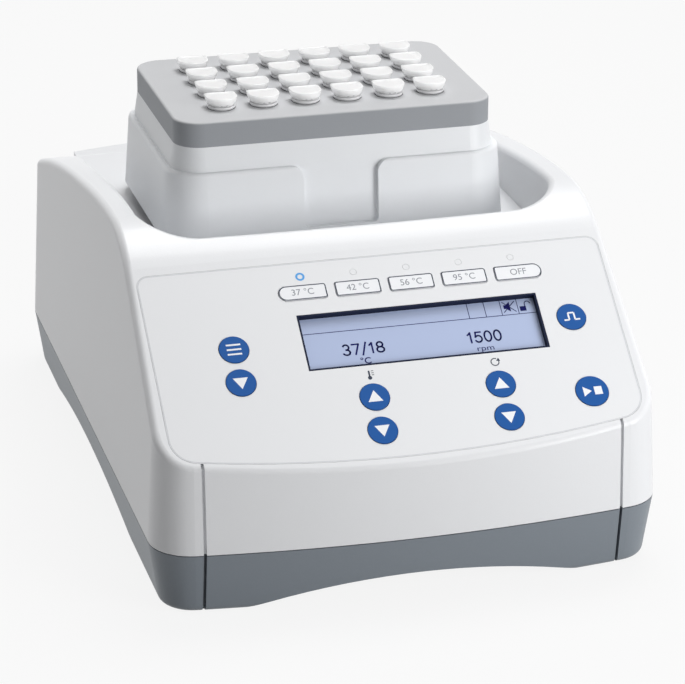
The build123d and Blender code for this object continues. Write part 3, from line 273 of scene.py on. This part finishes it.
def makeFinish(name, values):
    # tone = grain times its share plus drift times its share; the grain also drives roughness and bump
    kind, tint, shade, smooth, rough, size, depth, metallic, coat = values
    material = bpy.data.materials.new(name)
    material.use_nodes = True
    tree = material.node_tree
    shader = tree.nodes["Principled BSDF"]
    place, fine = grain(tree, kind, size)
    drift = tree.nodes.new("ShaderNodeTexNoise")
    drift.inputs["Scale"].default_value = driftSize
    tree.links.new(place, drift.inputs["Vector"])
    blend = tree.nodes.new("ShaderNodeMath")
    blend.operation, blend.use_clamp = "MULTIPLY_ADD", True
    blend.inputs[1].default_value = fineShare
    half = tree.nodes.new("ShaderNodeMath")
    half.operation = "MULTIPLY"
    half.inputs[1].default_value = driftShare
    tree.links.new(drift.outputs["Fac"], half.inputs[0])
    tree.links.new(fine, blend.inputs[0])
    tree.links.new(half.outputs[0], blend.inputs[2])
    mix = tree.nodes.new("ShaderNodeMix")
    mix.data_type = "RGBA"
    mix.inputs["A"].default_value = (*tint, 1.0)
    mix.inputs["B"].default_value = (*shade, 1.0)
    tree.links.new(blend.outputs[0], mix.inputs["Factor"])
    colour = mix.outputs["Result"]
    # the cover plate's top face gets the lighter painted sheen colour
    if name in paintedTopSheen:
        colour = addPaintedTopSheen(tree, place, colour, *paintedTopSheen[name])
    tree.links.new(colour, shader.inputs["Base Color"])
    spread = tree.nodes.new("ShaderNodeMapRange")
    spread.inputs["To Min"].default_value = smooth
    spread.inputs["To Max"].default_value = rough
    tree.links.new(fine, spread.inputs["Value"])
    tree.links.new(spread.outputs["Result"], shader.inputs["Roughness"])
    shader.inputs["Metallic"].default_value = metallic
    shader.inputs["Coat Weight"].default_value = coat
    for socket, amount in finishExtras.get(name, {}).items():
        shader.inputs[socket].default_value = amount
    if depth > 0:
        bump = tree.nodes.new("ShaderNodeBump")
        bump.inputs["Strength"].default_value = depth
        bump.inputs["Distance"].default_value = bumpHeight
        tree.links.new(fine, bump.inputs["Height"])
        tree.links.new(bump.outputs["Normal"], shader.inputs["Normal"])
    return material


materials = {name: makeFinish(name, values) for name, values in finishes.items()}
roundKeys = ["menu_key", "scroll_key", "temp_up_key", "temp_down_key",
             "speed_up_key", "speed_down_key", "short_mix_key", "start_stop_key"]
presetKeys = [f"preset_key_{index}" for index in range(1, 6)]
nodeFinish = {
    "upper_housing": "whiteShell", "base_housing": "greyShell", "rubber_feet": "rubberBlack",
    "housing_screws": "steelTurned", "control_foil": "panelFilm", "key_switches": "plasticBlack",
    "key_lamps": "lampClear", "display_bezel": "bezelDark", "lcd_screen": "screenPale",
    "control_board": "boardGreen", "inner_screws": "steelTurned", "chassis_plate": "steelFolded",
    "bridge_pillars": "steelTurned", "bearing_bridge": "aluminiumCut", "drive_motor": "steelFolded",
    "motor_bearing": "steelTurned", "idler_bearings": "steelTurned", "fan_housing": "plasticBlack",
    "mains_inlet": "plasticBlack", "power_supply": "steelFolded", "main_board": "boardGreen",
    "mixing_table": "aluminiumCut", "table_bearing": "steelTurned", "heat_sink": "aluminiumCut",
    "peltier_elements": "ceramicWhite", "thermoblock": "aluminiumCut", "insulation_jacket": "foamGrey",
    "temperature_sensor": "steelTurned", "block_frame": "frameWhite", "cover_plate": "coverGrey",
    "drive_shaft": "steelTurned", "counterweight": "brass", "sample_tubes": "barrelPlastic",
    "fan_rotor": "plasticBlack", "fuse_drawer": "plasticBlack", "power_rocker": "plasticBlack",
}
nodeFinish.update({name: "keyBlue" for name in roundKeys})
nodeFinish.update({name: "keyPale" for name in presetKeys})
nodeFinish.update({f"idler_crank_{index}": "steelTurned" for index in range(1, 5)})
nodeFinish.update({f"tube_lids_row_{index}": "tubePlastic" for index in range(1, 5)})
for name, node in nodes.items():
    node.data.materials.clear()
    node.data.materials.append(materials[nodeFinish[name]])
print("stage: finishes on", len(nodes), "nodes")

# floor
floorLook = {"reach": 6.0, "below": 0.0001, "shadow": 0.18, "matt": 0.42, "glow": 1.07}


def addFloor(look):
    # flat square; the camera sees an almost white sheet that still darkens under the object
    half, low = look["reach"], -look["below"]
    mesh = bpy.data.meshes.new("floor")
    corners = [(-half, -half, low), (half, -half, low), (half, half, low), (-half, half, low)]
    mesh.from_pydata(corners, [], [(0, 1, 2, 3)])
    floor = bpy.data.objects.new("floor", mesh)
    bpy.context.scene.collection.objects.link(floor)
    material = bpy.data.materials.new("floorWhite")
    material.use_nodes = True
    tree = material.node_tree
    tree.nodes.clear()
    out = tree.nodes.new("ShaderNodeOutputMaterial")
    glow = tree.nodes.new("ShaderNodeEmission")
    matt = tree.nodes.new("ShaderNodeBsdfDiffuse")
    keep = tree.nodes.new("ShaderNodeMath")
    mix = tree.nodes.new("ShaderNodeMixShader")
    matt.inputs["Color"].default_value = (look["matt"], look["matt"], look["matt"], 1)
    glow.inputs["Strength"].default_value = look["glow"]
    keep.operation = "MULTIPLY"
    keep.inputs[1].default_value = 1.0 - look["shadow"]
    tree.links.new(seenRays(tree), keep.inputs[0])
    tree.links.new(keep.outputs[0], mix.inputs[0])
    tree.links.new(matt.outputs[0], mix.inputs[1])
    tree.links.new(glow.outputs[0], mix.inputs[2])
    tree.links.new(mix.outputs[0], out.inputs[0])
    mesh.materials.append(material)
    return floor


addFloor(floorLook)

# mesh helpers
panelPlace = {"y": -0.102, "z": 0.095, "slope": 37.8}
slope = math.radians(panelPlace["slope"])


def toPanel(across, up, lift):
    # across, up and lift on the sloping panel, in millimetres, to places in metres
    across, up, lift = np.asarray(across) / 1000, np.asarray(up) / 1000, np.asarray(lift) / 1000
    y = panelPlace["y"] + up * math.cos(slope) - lift * math.sin(slope)
    z = panelPlace["z"] + up * math.sin(slope) + lift * math.cos(slope)
    return np.stack(np.broadcast_arrays(across, y, z), axis=-1)


def addMesh(name, points, faces, finish, body, smooth=False):
    # a named piece that rides on a body
    mesh = bpy.data.meshes.new(name)
    mesh.from_pydata(np.asarray(points).tolist(), [], [tuple(face) for face in faces])
    mesh.materials.append(materials[finish])
    mesh.polygons.foreach_set("use_smooth", [smooth] * len(mesh.polygons))
    mesh.update()
    piece = bpy.data.objects.new(name, mesh)
    bpy.context.scene.collection.objects.link(piece)
    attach(piece, body)
    return piece


def gridFaces(rows, columns, closedColumns=True):
    # four-sided cells of a grid whose points run row by row; the last column joins the first if closed
    here = np.arange(columns if closedColumns else columns - 1)
    after = (here + 1) % columns
    starts = (np.arange(rows - 1) * columns)[:, None]
    lower, upper = starts + here, starts + after
    return np.stack((lower, upper, upper + columns, lower + columns), axis=-1).reshape(-1, 4)


def band(outer, inner, lift):
    # strip between two closed outlines with as many points each, standing lift above the panel
    points = [toPanel(outline[:, 0], outline[:, 1], lift) for outline in (outer, inner)]
    return np.concatenate(points), gridFaces(2, len(outer))


def disc(outline, lift):
    # fan from the middle of a closed outline
    middle = outline.mean(axis=0)
    edge, hub = toPanel(outline[:, 0], outline[:, 1], lift), toPanel(middle[0], middle[1], lift)
    points = np.concatenate((edge, hub[None]))
    here = np.arange(len(outline))
    faces = np.stack((here, (here + 1) % len(outline), np.full(len(outline), len(outline))), axis=1)
    return points, faces


def circle(x, y, radius, count=48):
    # points at even turns, the radius from the middle
    turn = np.linspace(0, 2 * np.pi, count, endpoint=False)
    return np.stack((x + radius * np.cos(turn), y + radius * np.sin(turn)), axis=1)


def roundedBox(left, right, low, high, radii, count=8):
    # rectangle whose corners, from lower left round, have their own radii
    corners = [(left, low, 180), (right, low, 270), (right, high, 0), (left, high, 90)]
    rows = []
    for (x, y, start), radius in zip(corners, radii):
        turn = np.radians(start + np.linspace(0, 90, count))
        cx = x + radius if x == left else x - radius
        cy = y + radius if y == low else y - radius
        rows.append(np.stack((cx + radius * np.cos(turn), cy + radius * np.sin(turn)), axis=1))
    return np.concatenate(rows)


def joinParts(parts):
    # several (points, faces) into one
    points, faces, start = [], [], 0
    for part, cells in parts:
        points.append(part)
        faces.extend([tuple(int(v) + start for v in cell) for cell in cells])
        start += len(part)
    return np.concatenate(points), faces


def polygon(corners, lift):
    # one flat face with these corners on the panel
    corners = np.array(corners, float)
    return toPanel(corners[:, 0], corners[:, 1], lift), [tuple(range(len(corners)))]


def stroke(start, end, width, lift):
    # straight pen line: a four-cornered strip width wide from start to end
    start, end = np.array(start, float), np.array(end, float)
    along = (end - start) / np.linalg.norm(end - start)
    side = np.array((-along[1], along[0])) * width / 2
    return polygon([start - side, end - side, end + side, start + side], lift)


capitalShare = 0.72             # height of a capital as a share of the letter size


def addText(name, words, across, up, height, lift, finish, body, stretch=1.0, weight=0.0):
    # flat letters from the built-in face, made a mesh and laid on the panel; centred on (across, up)
    data = bpy.data.curves.new(name, "FONT")
    data.body, data.size, data.align_x, data.align_y = words, height / capitalShare, "CENTER", "CENTER"
    data.offset = weight
    holder = bpy.data.objects.new(name, data)
    bpy.context.scene.collection.objects.link(holder)
    bpy.context.view_layer.update()
    mesh = bpy.data.meshes.new_from_object(holder.evaluated_get(bpy.context.evaluated_depsgraph_get()))
    bpy.data.objects.remove(holder)
    flat = np.empty(len(mesh.vertices) * 3)
    mesh.vertices.foreach_get("co", flat)
    flat = flat.reshape(-1, 3)
    laid = toPanel(across + flat[:, 0] * stretch, up + flat[:, 1], lift)
    mesh.vertices.foreach_set("co", laid.ravel())
    mesh.materials.clear()
    mesh.materials.append(materials[finish])
    mesh.update()
    piece = bpy.data.objects.new(name, mesh)
    bpy.context.scene.collection.objects.link(piece)
    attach(piece, body)
    return piece


# control foil: the printed line that follows its edge
foilPlan = {"half": 95.2, "top": 33.6, "bottom": -57.6, "cornerTop": 5.0, "cornerBottom": 11.0,
            "bow": 550.0, "edge": 0.25, "line": 0.28, "lift": 0.03}


def foilEdge(inset):
    # closed outline: top and sides straight, bottom bowed on a large radius that the lower corners run into
    plan = foilPlan
    half, low, high = plan["half"] - inset, plan["bottom"] + inset, plan["top"] - inset
    lower, upper, bow = plan["cornerBottom"] - inset, plan["cornerTop"] - inset, plan["bow"] - inset
    cornerX, bowY = half - lower, low + bow
    cornerY = bowY - math.sqrt((bow - lower) ** 2 - cornerX ** 2)
    lean = math.degrees(math.atan2(cornerX, bowY - cornerY))

    def arc(x, y, radius, start, end, count):
        turn = np.radians(np.linspace(start, end, count))
        return np.stack((x + radius * np.cos(turn), y + radius * np.sin(turn)), axis=1)

    return np.concatenate((
        arc(0, bowY, bow, -90 - lean, -90 + lean, 48),
        arc(cornerX, cornerY, lower, -90 + lean, 0, 14)[1:],
        arc(half - upper, high - upper, upper, 0, 90, 10),
        arc(-half + upper, high - upper, upper, 90, 180, 10),
        arc(-cornerX, cornerY, lower, 180, 270 - lean, 14)[:-1],
    ))


foilOuter, foilInner = foilEdge(foilPlan["edge"]), foilEdge(foilPlan["edge"] + foilPlan["line"])
addMesh("foil_edge_line", *band(foilOuter, foilInner, foilPlan["lift"]), "paleInk", "housing")

# marks on the keys
keyPlan = {
    "menu_key": (-62.5, -3.2), "scroll_key": (-62.5, -18.1),
    "temp_up_key": (-11.6, -30.3), "temp_down_key": (-11.6, -45.2),
    "speed_up_key": (39.7, -30.3), "speed_down_key": (39.7, -45.2),
    "short_mix_key": (75.7, -3.3), "start_stop_key": (75.6, -37.7),
}
keyTop = 0.32
arrow = {"halfWidth": 3.0, "tall": 5.0}


def arrowOn(key, direction):
    # triangle about the key's middle, pointing up or down the panel
    x, up = keyPlan[key]
    half, tall = arrow["halfWidth"], arrow["tall"]
    foot, tip = up - direction * tall * 0.42, up + direction * tall * 0.58
    corners = [(x - half, foot), (x + half, foot), (x, tip)]
    points, faces = polygon(corners if direction > 0 else corners[::-1], keyTop)
    addMesh(f"{key}_mark", points, faces, "whiteInk", key)


for key, direction in (("scroll_key", -1), ("temp_up_key", 1), ("temp_down_key", -1),
                       ("speed_up_key", 1), ("speed_down_key", -1)):
    arrowOn(key, direction)


def menuMark():
    # three level bars
    x, up = keyPlan["menu_key"]
    bars = [stroke((x - 2.9, up + rise), (x + 2.9, up + rise), 0.75, keyTop) for rise in (2.1, 0.0, -2.1)]
    addMesh("menu_key_mark", *joinParts(bars), "whiteInk", "menu_key")


def shortMark():
    # one short pulse
    x, up = keyPlan["short_mix_key"]
    low, high, near, far = up - 1.4, up + 1.8, 1.2, 3.3
    path = [(x - far, low), (x - near, low), (x - near, high),
            (x + near, high), (x + near, low), (x + far, low)]
    lines = [stroke(a, b, 0.7, keyTop) for a, b in zip(path, path[1:])]
    addMesh("short_mix_key_mark", *joinParts(lines), "whiteInk", "short_mix_key")


def startStopMark():
    # triangle and square side by side
    x, up = keyPlan["start_stop_key"]
    play = polygon([(x - 3.6, up - 2.2), (x - 0.2, up), (x - 3.6, up + 2.2)], keyTop)
    near, far, half = x + 0.9, x + 4.1, 1.8
    stop = polygon([(near, up - half), (far, up - half), (far, up + half), (near, up + half)], keyTop)
    addMesh("start_stop_key_mark", *joinParts([play, stop]), "whiteInk", "start_stop_key")


menuMark()
shortMark()
startStopMark()

presetPlan = {"left": -38.8, "pitch": 22.0, "width": 18.2, "height": 6.5, "up": 19.7,
              "corner": 1.0, "extra": 1.2, "line": 0.40, "letters": 2.9}
presetWords = ["37 °C", "42 °C", "56 °C", "95 °C", "OFF"]


def addPreset(index):
    # outline of a preset key, its outer end half round on the first and last, with the words in the middle
    plan = presetPlan
    left = plan["left"] + index * plan["pitch"] - (plan["extra"] if index == 0 else 0)
    right = plan["left"] + index * plan["pitch"] + plan["width"] + (plan["extra"] if index == 4 else 0)
    low, high = plan["up"] - plan["height"] / 2, plan["up"] + plan["height"] / 2
    big, small = plan["height"] / 2 - 0.01, plan["corner"]
    radii = [small] * 4
    if index == 0:
        radii = [big, small, small, big]
    if index == 4:
        radii = [small, big, big, small]
    outer = roundedBox(left, right, low, high, radii)
    line = plan["line"]
    innerRadii = [max(radius - line, 0.05) for radius in radii]
    inner = roundedBox(left + line, right - line, low + line, high - line, innerRadii)
    key = f"preset_key_{index + 1}"
    addMesh(f"{key}_line", *band(outer, inner, keyTop), "outlineInk", key)
    middle = (left + right) / 2
    addText(f"{key}_words", presetWords[index], middle, plan["up"], plan["letters"], keyTop,
            "greyInk", key, 0.98)


for index in range(5):
    addPreset(index)

lampPlan = {"left": -29.9, "pitch": 21.8, "up": 27.0, "outer": 1.88, "inner": 1.02, "lift": 0.03}
lampSpot = (lampPlan["left"], lampPlan["up"])
lampEdges = [circle(*lampSpot, lampPlan[edge]) for edge in ("outer", "inner")]
addMesh("lit_lamp_ring", *band(*lampEdges, lampPlan["lift"]), "lampBlue", "housing")

# display
# width of each figure, the gap between figures and how far a pen line runs on, as a share of the pen
digitPlan = {"0": 3.0, "1": 1.9, "3": 2.9, "5": 3.0, "7": 2.9, "8": 3.1, "/": 2.1, "gap": 0.95,
             "runOn": 0.4}


def ellipse(x, y, wide, tall, start, end, count=19):
    # part of an ellipse between two turns in degrees
    turn = np.radians(np.linspace(start, end, count))
    return np.stack((x + wide * np.cos(turn), y + tall * np.sin(turn)), axis=1)


digitLines = {
    # pen lines of each figure in a box one wide and one high
    "0": [ellipse(0.5, 0.5, 0.46, 0.5, 0, 360, 29)],
    "1": [np.array([(0.05, 0.76), (0.62, 0.98), (0.62, 0.0)])],
    "3": [ellipse(0.46, 0.745, 0.40, 0.255, 150, -90), ellipse(0.46, 0.25, 0.48, 0.25, 90, -155)],
    "5": [np.array([(0.90, 0.98), (0.20, 0.98), (0.10, 0.50)]), ellipse(0.47, 0.32, 0.47, 0.32, 142, -150)],
    "7": [np.array([(0.02, 0.98), (0.95, 0.98), (0.36, 0.0)])],
    "8": [ellipse(0.5, 0.75, 0.38, 0.24, 0, 360, 25), ellipse(0.5, 0.255, 0.46, 0.255, 0, 360, 25)],
    "/": [np.array([(0.0, -0.12), (0.9, 1.08)])],
}


def addReading(name, words, middle, low, tall, pen, lift):
    # figures side by side about the middle; each pen line runs on a little so that bends stay filled
    plan = digitPlan
    left = middle - (sum(plan[letter] for letter in words) + plan["gap"] * (len(words) - 1)) / 2
    parts = []
    for letter in words:
        for line in digitLines[letter]:
            line = line * (plan[letter], tall) + (left, low)
            for start, end in zip(line, line[1:]):
                along = (end - start) / np.linalg.norm(end - start) * pen * plan["runOn"]
                parts.append(stroke(start - along, end + along, pen, lift))
        left += plan[letter] + plan["gap"]
    addMesh(name, *joinParts(parts), "printInk", "housing")


screenPlan = {"left": -34.9, "right": 63.6, "high": 9.4, "lift": -2.36, "lineUp": 1.8, "pen": 0.28,
              "edge": 0.85, "dividers": (35.0, 42.0, 48.7, 55.7), "digits": 4.6, "digitPen": 0.70,
              "digitLow": -9.2, "temperature": -10.7, "speed": 39.0}


def addScreenMarks():
    # status line, its dividers and the two readings
    plan = screenPlan
    lift, pen, edge = plan["lift"], plan["pen"], plan["edge"]
    left, right, up = plan["left"] + edge, plan["right"] - edge, plan["lineUp"]
    lines = [stroke((left, up), (right, up), pen, lift)]
    for x in plan["dividers"]:
        lines.append(stroke((x, up), (x, plan["high"] - edge), pen, lift))
    addMesh("screen_lines", *joinParts(lines), "printInk", "housing")
    for name, words in (("temperature", "37/18"), ("speed", "1500")):
        addReading(f"screen_{name}", words, plan[name], plan["digitLow"], plan["digits"],
                   plan["digitPen"], lift)
    addText("screen_degree", "°C", -10.9, -12.6, 2.8, lift, "printInk", "housing", 1.05, 0.05)
    addText("screen_rate", "rpm", 38.3, -12.2, 2.4, lift, "printInk", "housing", 1.35, 0.0)


def addScreenSigns():
    # a crossed-out horn and an open lock in the status row
    lift, pen, lockPen = screenPlan["lift"], 0.34, 0.4
    horn = [polygon([(49.9, 4.6), (50.9, 4.6), (52.6, 3.2), (52.6, 7.8), (50.9, 6.4), (49.9, 6.4)], lift)]
    horn += [stroke((49.6, 3.0), (54.8, 7.9), pen, lift), stroke((49.6, 7.9), (54.8, 3.0), pen, lift)]
    addMesh("screen_horn_sign", *joinParts(horn), "printInk", "housing")
    lock = [polygon([(56.5, 3.0), (59.1, 3.0), (59.1, 5.2), (56.5, 5.2)], lift)]
    turn = np.radians(np.linspace(0, 180, 11))
    bow = np.stack((59.9 + 1.15 * np.cos(turn), 6.2 + 1.15 * np.sin(turn)), axis=1)
    lock += [stroke(a, b, lockPen, lift) for a, b in zip(bow, bow[1:])]
    lock.append(stroke((58.75, 5.2), (58.75, 6.2), lockPen, lift))
    addMesh("screen_lock_sign", *joinParts(lock), "printInk", "housing")


def addColumnSigns():
    # a small thermometer and a turning arrow above the two pairs of arrow keys
    lift = 0.03
    mark = [disc(circle(-11.6, -21.6, 0.85, 24), lift), stroke((-11.6, -21.2), (-11.6, -18.4), 0.7, lift)]
    mark += [stroke((-10.7, up), (-9.7, up), 0.3, lift) for up in (-18.6, -19.5, -20.4)]
    addMesh("temperature_sign", *joinParts(mark), "outlineInk", "housing")
    turn = np.radians(np.linspace(60, 380, 33))
    arc = np.stack((39.7 + 1.6 * np.cos(turn), -20.2 + 1.6 * np.sin(turn)), axis=1)
    mark = [stroke(a, b, 0.42, lift) for a, b in zip(arc, arc[1:])]
    tip = arc[-1]
    mark.append(polygon([tip + (-0.95, -0.1), tip + (0.75, -0.35), tip + (0.15, 1.2)], lift))
    addMesh("speed_sign", *joinParts(mark), "outlineInk", "housing")


addScreenMarks()
addScreenSigns()
addColumnSigns()
print("stage: panel prints")

# tubes and their lids
tubePlan = {
    "columns": 6, "rows": 4, "pitch": 17.8, "middleY": 17.9,
    "profile": ((1.9, 123.0), (5.35, 139.0), (5.35, 161.05), (5.62, 161.20), (5.80, 161.50),
                (5.80, 162.10), (5.72, 162.2), (4.6, 162.2), (4.6, 159.2)),
    # hole: inner and outer radius and height of the flat ring of painted shadow round each hole
    "lug": (2.5, 5.3, 7.6, 161.05, 162.2), "hole": (5.5, 5.85, 161.02),
}
lidPlan = {
    "radius": 6.5, "back": 5.0, "corner": 1.6,
    "profile": ((1.60, 162.28), (1.20, 162.40), (0.80, 162.95), (0.48, 163.7), (0.25, 164.5), (0.06, 165.3),
                (0.0, 165.65), (0.08, 165.82), (0.26, 165.9), (0.55, 165.9), (0.75, 165.82), (1.05, 165.68),
                (3.2, 165.66)),
    "plugRadius": 4.2, "plugLow": 160.75, "plugHigh": 162.45,
    "strap": ((3.0, 162.35), (7.3, 162.35), (7.6, 162.6), (7.6, 162.95), (7.3, 163.2), (3.0, 163.2)),
    # the last six entries place the small blocks of painted shade beside each lid's tab
    "strapHalf": 2.5, "tabShadeAngle": 11.0, "tabShadeSpan": 4.2, "tabShadeLow": 162.85, "tabShadeHigh": 163.3,
    "tabShadeInner": 5.0, "tabShadeOuter": 5.78,
}


def lidEdge(inset):
    # closed outline of a lid: half circle in front, straight sides, straight back with rounded corners
    plan = lidPlan
    radius, back = plan["radius"] - inset, plan["back"] - inset
    corner = max(plan["corner"] - inset, 0.3)
    front = np.radians(np.linspace(180, 360, 25))
    right = np.radians(np.linspace(0, 90, 6))
    arc = np.stack((radius * np.cos(front), radius * np.sin(front)), axis=1)
    x, y = radius - corner + corner * np.cos(right), back - corner + corner * np.sin(right)
    turn = np.stack((x, y), axis=1)
    return np.concatenate((arc, turn, turn[::-1] * (-1.0, 1.0)))


def closedStack(outlines, heights):
    # closed outlines one above the other, joined by a grid, with a fan over the first and the last
    columns = len(outlines[0])
    levels = zip(outlines, heights)
    rows = [np.column_stack((outline, np.full(columns, height))) for outline, height in levels]
    points = np.concatenate(rows)
    count = len(points)
    faces = gridFaces(len(rows), columns).tolist()
    here = np.arange(columns)
    after = (here + 1) % columns
    last = (len(rows) - 1) * columns
    faces += np.column_stack((after, here, np.full(columns, count))).tolist()
    faces += np.column_stack((here + last, after + last, np.full(columns, count + 1))).tolist()
    ends = np.array([rows[0].mean(axis=0), rows[-1].mean(axis=0)])
    return np.concatenate((points, ends)), faces


def lidCap():
    # lid: its outline drawn in by each step of the profile, at the height of that step
    steps = lidPlan["profile"]
    return closedStack([lidEdge(inset) for inset, height in steps], [height for inset, height in steps])


def turned(profile, count=32):
    # profile of radius and height turned about the upright axis
    outlines = [circle(0, 0, radius, count) for radius, height in profile]
    return closedStack(outlines, [height for radius, height in profile])


def prism(outline, half):
    # outline in the upright middle plane, carried half to each side
    outline = np.array(outline, float)
    count = len(outline)
    sides = [np.column_stack((np.full(count, x), outline)) for x in (-half, half)]
    faces = gridFaces(2, count)[:, ::-1].tolist()
    faces += [list(range(count))[::-1], list(range(count, 2 * count))]
    return np.concatenate(sides), [face[::-1] for face in faces[:count]] + faces[count:]


def arcBlock(inner, outer, low, high, middle, span, count):
    # block bent round the tube's middle: four corners of its section carried along an arc, ends closed
    turn = np.radians(middle + np.linspace(-span, span, count))
    section = np.array([(inner, low), (outer, low), (outer, high), (inner, high)])
    x = section[:, 0] * np.cos(turn)[:, None]
    y = section[:, 0] * np.sin(turn)[:, None]
    z = np.broadcast_to(section[:, 1], x.shape)
    points = np.stack((x, y, z), axis=-1).reshape(-1, 3)
    faces = gridFaces(count, 4)[:, ::-1].tolist()
    last = (count - 1) * 4
    return points, faces + [[0, 1, 2, 3], [last + 3, last + 2, last + 1, last]]


def flatRing(inner, outer, height, count=32):
    # level ring, facing up
    points = np.concatenate((circle(0, 0, outer, count), circle(0, 0, inner, count)))
    return np.column_stack((points, np.full(len(points), height))), gridFaces(2, count)


def spread(points, faces, middles):
    # the same shape at several middles, as one mesh in metres
    middles = np.asarray(middles, float)
    whole = (points[None] + np.column_stack((middles, np.zeros(len(middles))))[:, None]).reshape(-1, 3)
    steps = np.arange(len(middles)) * len(points)
    cells = [tuple(int(v) + int(step) for v in face) for step in steps for face in faces]
    return whole / 1000, cells


def rowMiddles(row):
    # middles of one row of tubes, a pitch apart and centred on the block
    plan = tubePlan
    y = plan["middleY"] + (row - (plan["rows"] - 1) / 2) * plan["pitch"]
    return [((column - (plan["columns"] - 1) / 2) * plan["pitch"], y) for column in range(plan["columns"])]


def shadeEdges(piece, degrees):
    # faces meet smoothly below this angle and with an edge above it
    piece.data.set_sharp_from_angle(angle=math.radians(degrees))


def addLids(row):
    # caps, plugs and straps of one row stand for the row's CAD lids
    plan, middles, body = lidPlan, rowMiddles(row), f"lids_row_{row + 1}"
    plug = turned([(plan["plugRadius"], plan["plugLow"]), (plan["plugRadius"], plan["plugHigh"])])
    parts = joinParts([lidCap(), plug, prism(plan["strap"], plan["strapHalf"])])
    caps = addMesh(f"lids_{row + 1}", *spread(*parts, middles), "tubePlastic", body, smooth=True)
    shadeEdges(caps, 50)
    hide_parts(f"tube_lids_row_{row + 1}")
    # two small grey blocks low on each lid's front are painted shade of the notches beside the lid's tab
    tabShades = []
    for side in (-1, 1):
        middle = 270 + side * plan["tabShadeAngle"]
        tabShades.append(arcBlock(plan["tabShadeInner"], plan["tabShadeOuter"], plan["tabShadeLow"], plan["tabShadeHigh"],
                              middle, plan["tabShadeSpan"], 3))
    addMesh(f"lid_tab_shades_{row + 1}", *spread(*joinParts(tabShades), middles), "gripShade", body)


def addTubes():
    # barrels with their collars and hinge lugs stand for the CAD tubes; a flat dark ring round each hole is
    # painted shadow under the collar
    plan = tubePlan
    middles = [middle for row in range(plan["rows"]) for middle in rowMiddles(row)]
    half, near, far, low, high = plan["lug"]
    lug = prism(((near, low), (far, low), (far, high), (near, high)), half)
    barrel = joinParts([turned(plan["profile"]), lug])
    tubes = addMesh("tube_barrels", *spread(*barrel, middles), "barrelPlastic", "tubes", smooth=True)
    shadeEdges(tubes, 40)
    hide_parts("sample_tubes")
    # flat dark-grey ring on the cover round each hole: painted shadow of the gap under each collar
    inner, outer, height = plan["hole"]
    addMesh("hole_shadow_rings", *spread(*flatRing(inner, outer, height), middles), "holeShade", "shaken_block")


for row in range(tubePlan["rows"]):
    addLids(row)
addTubes()
print("stage: tubes and lids")

# marks at the mains inlet
inletPlan = {"x": 65.5, "z": 56.0, "pivotY": 146.6, "tilt": 9.0, "waist": 1.9, "face": 3.4, "half": 9.0,
             "markUp": 4.6, "barHalf": 2.0, "ring": 2.1, "pen": 0.8,
             "drawerX": 36.0, "drawerZ": 47.8, "drawerY": 151.62, "finePen": 0.3}


def onRocker(across, up):
    # across and up on the rocker's hollow face, in millimetres, turned about its pin, to places in metres
    plan = inletPlan
    across, up = np.asarray(across, float), np.asarray(up, float)
    out = plan["waist"] + (plan["face"] - plan["waist"]) * np.abs(up) / plan["half"] + 0.03
    tilt = math.radians(plan["tilt"])
    y = plan["pivotY"] + out * math.cos(tilt) - up * math.sin(tilt)
    z = plan["z"] + out * math.sin(tilt) + up * math.cos(tilt)
    return np.stack((plan["x"] + across, y, z), axis=-1) / 1000


def addRockerMarks():
    # a bar above for on and a ring below for off; seen from behind, so across runs the other way
    plan = inletPlan
    half, up, tall, ringOuter = plan["pen"] / 2, plan["markUp"], plan["barHalf"], plan["ring"]
    bar = np.array([(half, up - tall), (-half, up - tall), (-half, up + tall), (half, up + tall)])
    outer, inner = [circle(0, -up, radius, 32)[::-1] for radius in (ringOuter, ringOuter - plan["pen"])]
    ring = np.concatenate((outer, inner))
    barPart = onRocker(bar[:, 0], bar[:, 1]), [(0, 1, 2, 3)]
    ringPart = onRocker(ring[:, 0], ring[:, 1]), gridFaces(2, len(outer))
    addMesh("rocker_marks", *joinParts([barPart, ringPart]), "whiteInk", "power_rocker")


def addFuseMark():
    # upright sign of a fuse on the drawer: a long box with a line through it
    plan = inletPlan
    lines = [((-4.6, 0), (4.6, 0)), ((-2.8, -1.0), (2.8, -1.0)), ((-2.8, 1.0), (2.8, 1.0)),
             ((-2.8, -1.0), (-2.8, 1.0)), ((2.8, -1.0), (2.8, 1.0))]
    parts = []
    for start, end in lines:
        start, end = np.array(start, float), np.array(end, float)
        along = (end - start) / np.linalg.norm(end - start)
        reach = along * plan["finePen"] / 2
        side = np.array((-reach[1], reach[0]))
        start, end = start - reach, end + reach
        corners = np.array([start - side, start + side, end + side, end - side])
        place = np.column_stack((plan["drawerX"] + corners[:, 0], np.full(4, plan["drawerY"]),
                                 plan["drawerZ"] + corners[:, 1]))
        parts.append((place / 1000, [(0, 1, 2, 3)]))
    addMesh("fuse_mark", *joinParts(parts), "whiteInk", "fuse_drawer")


addRockerMarks()
addFuseMark()
print("stage: inlet marks")
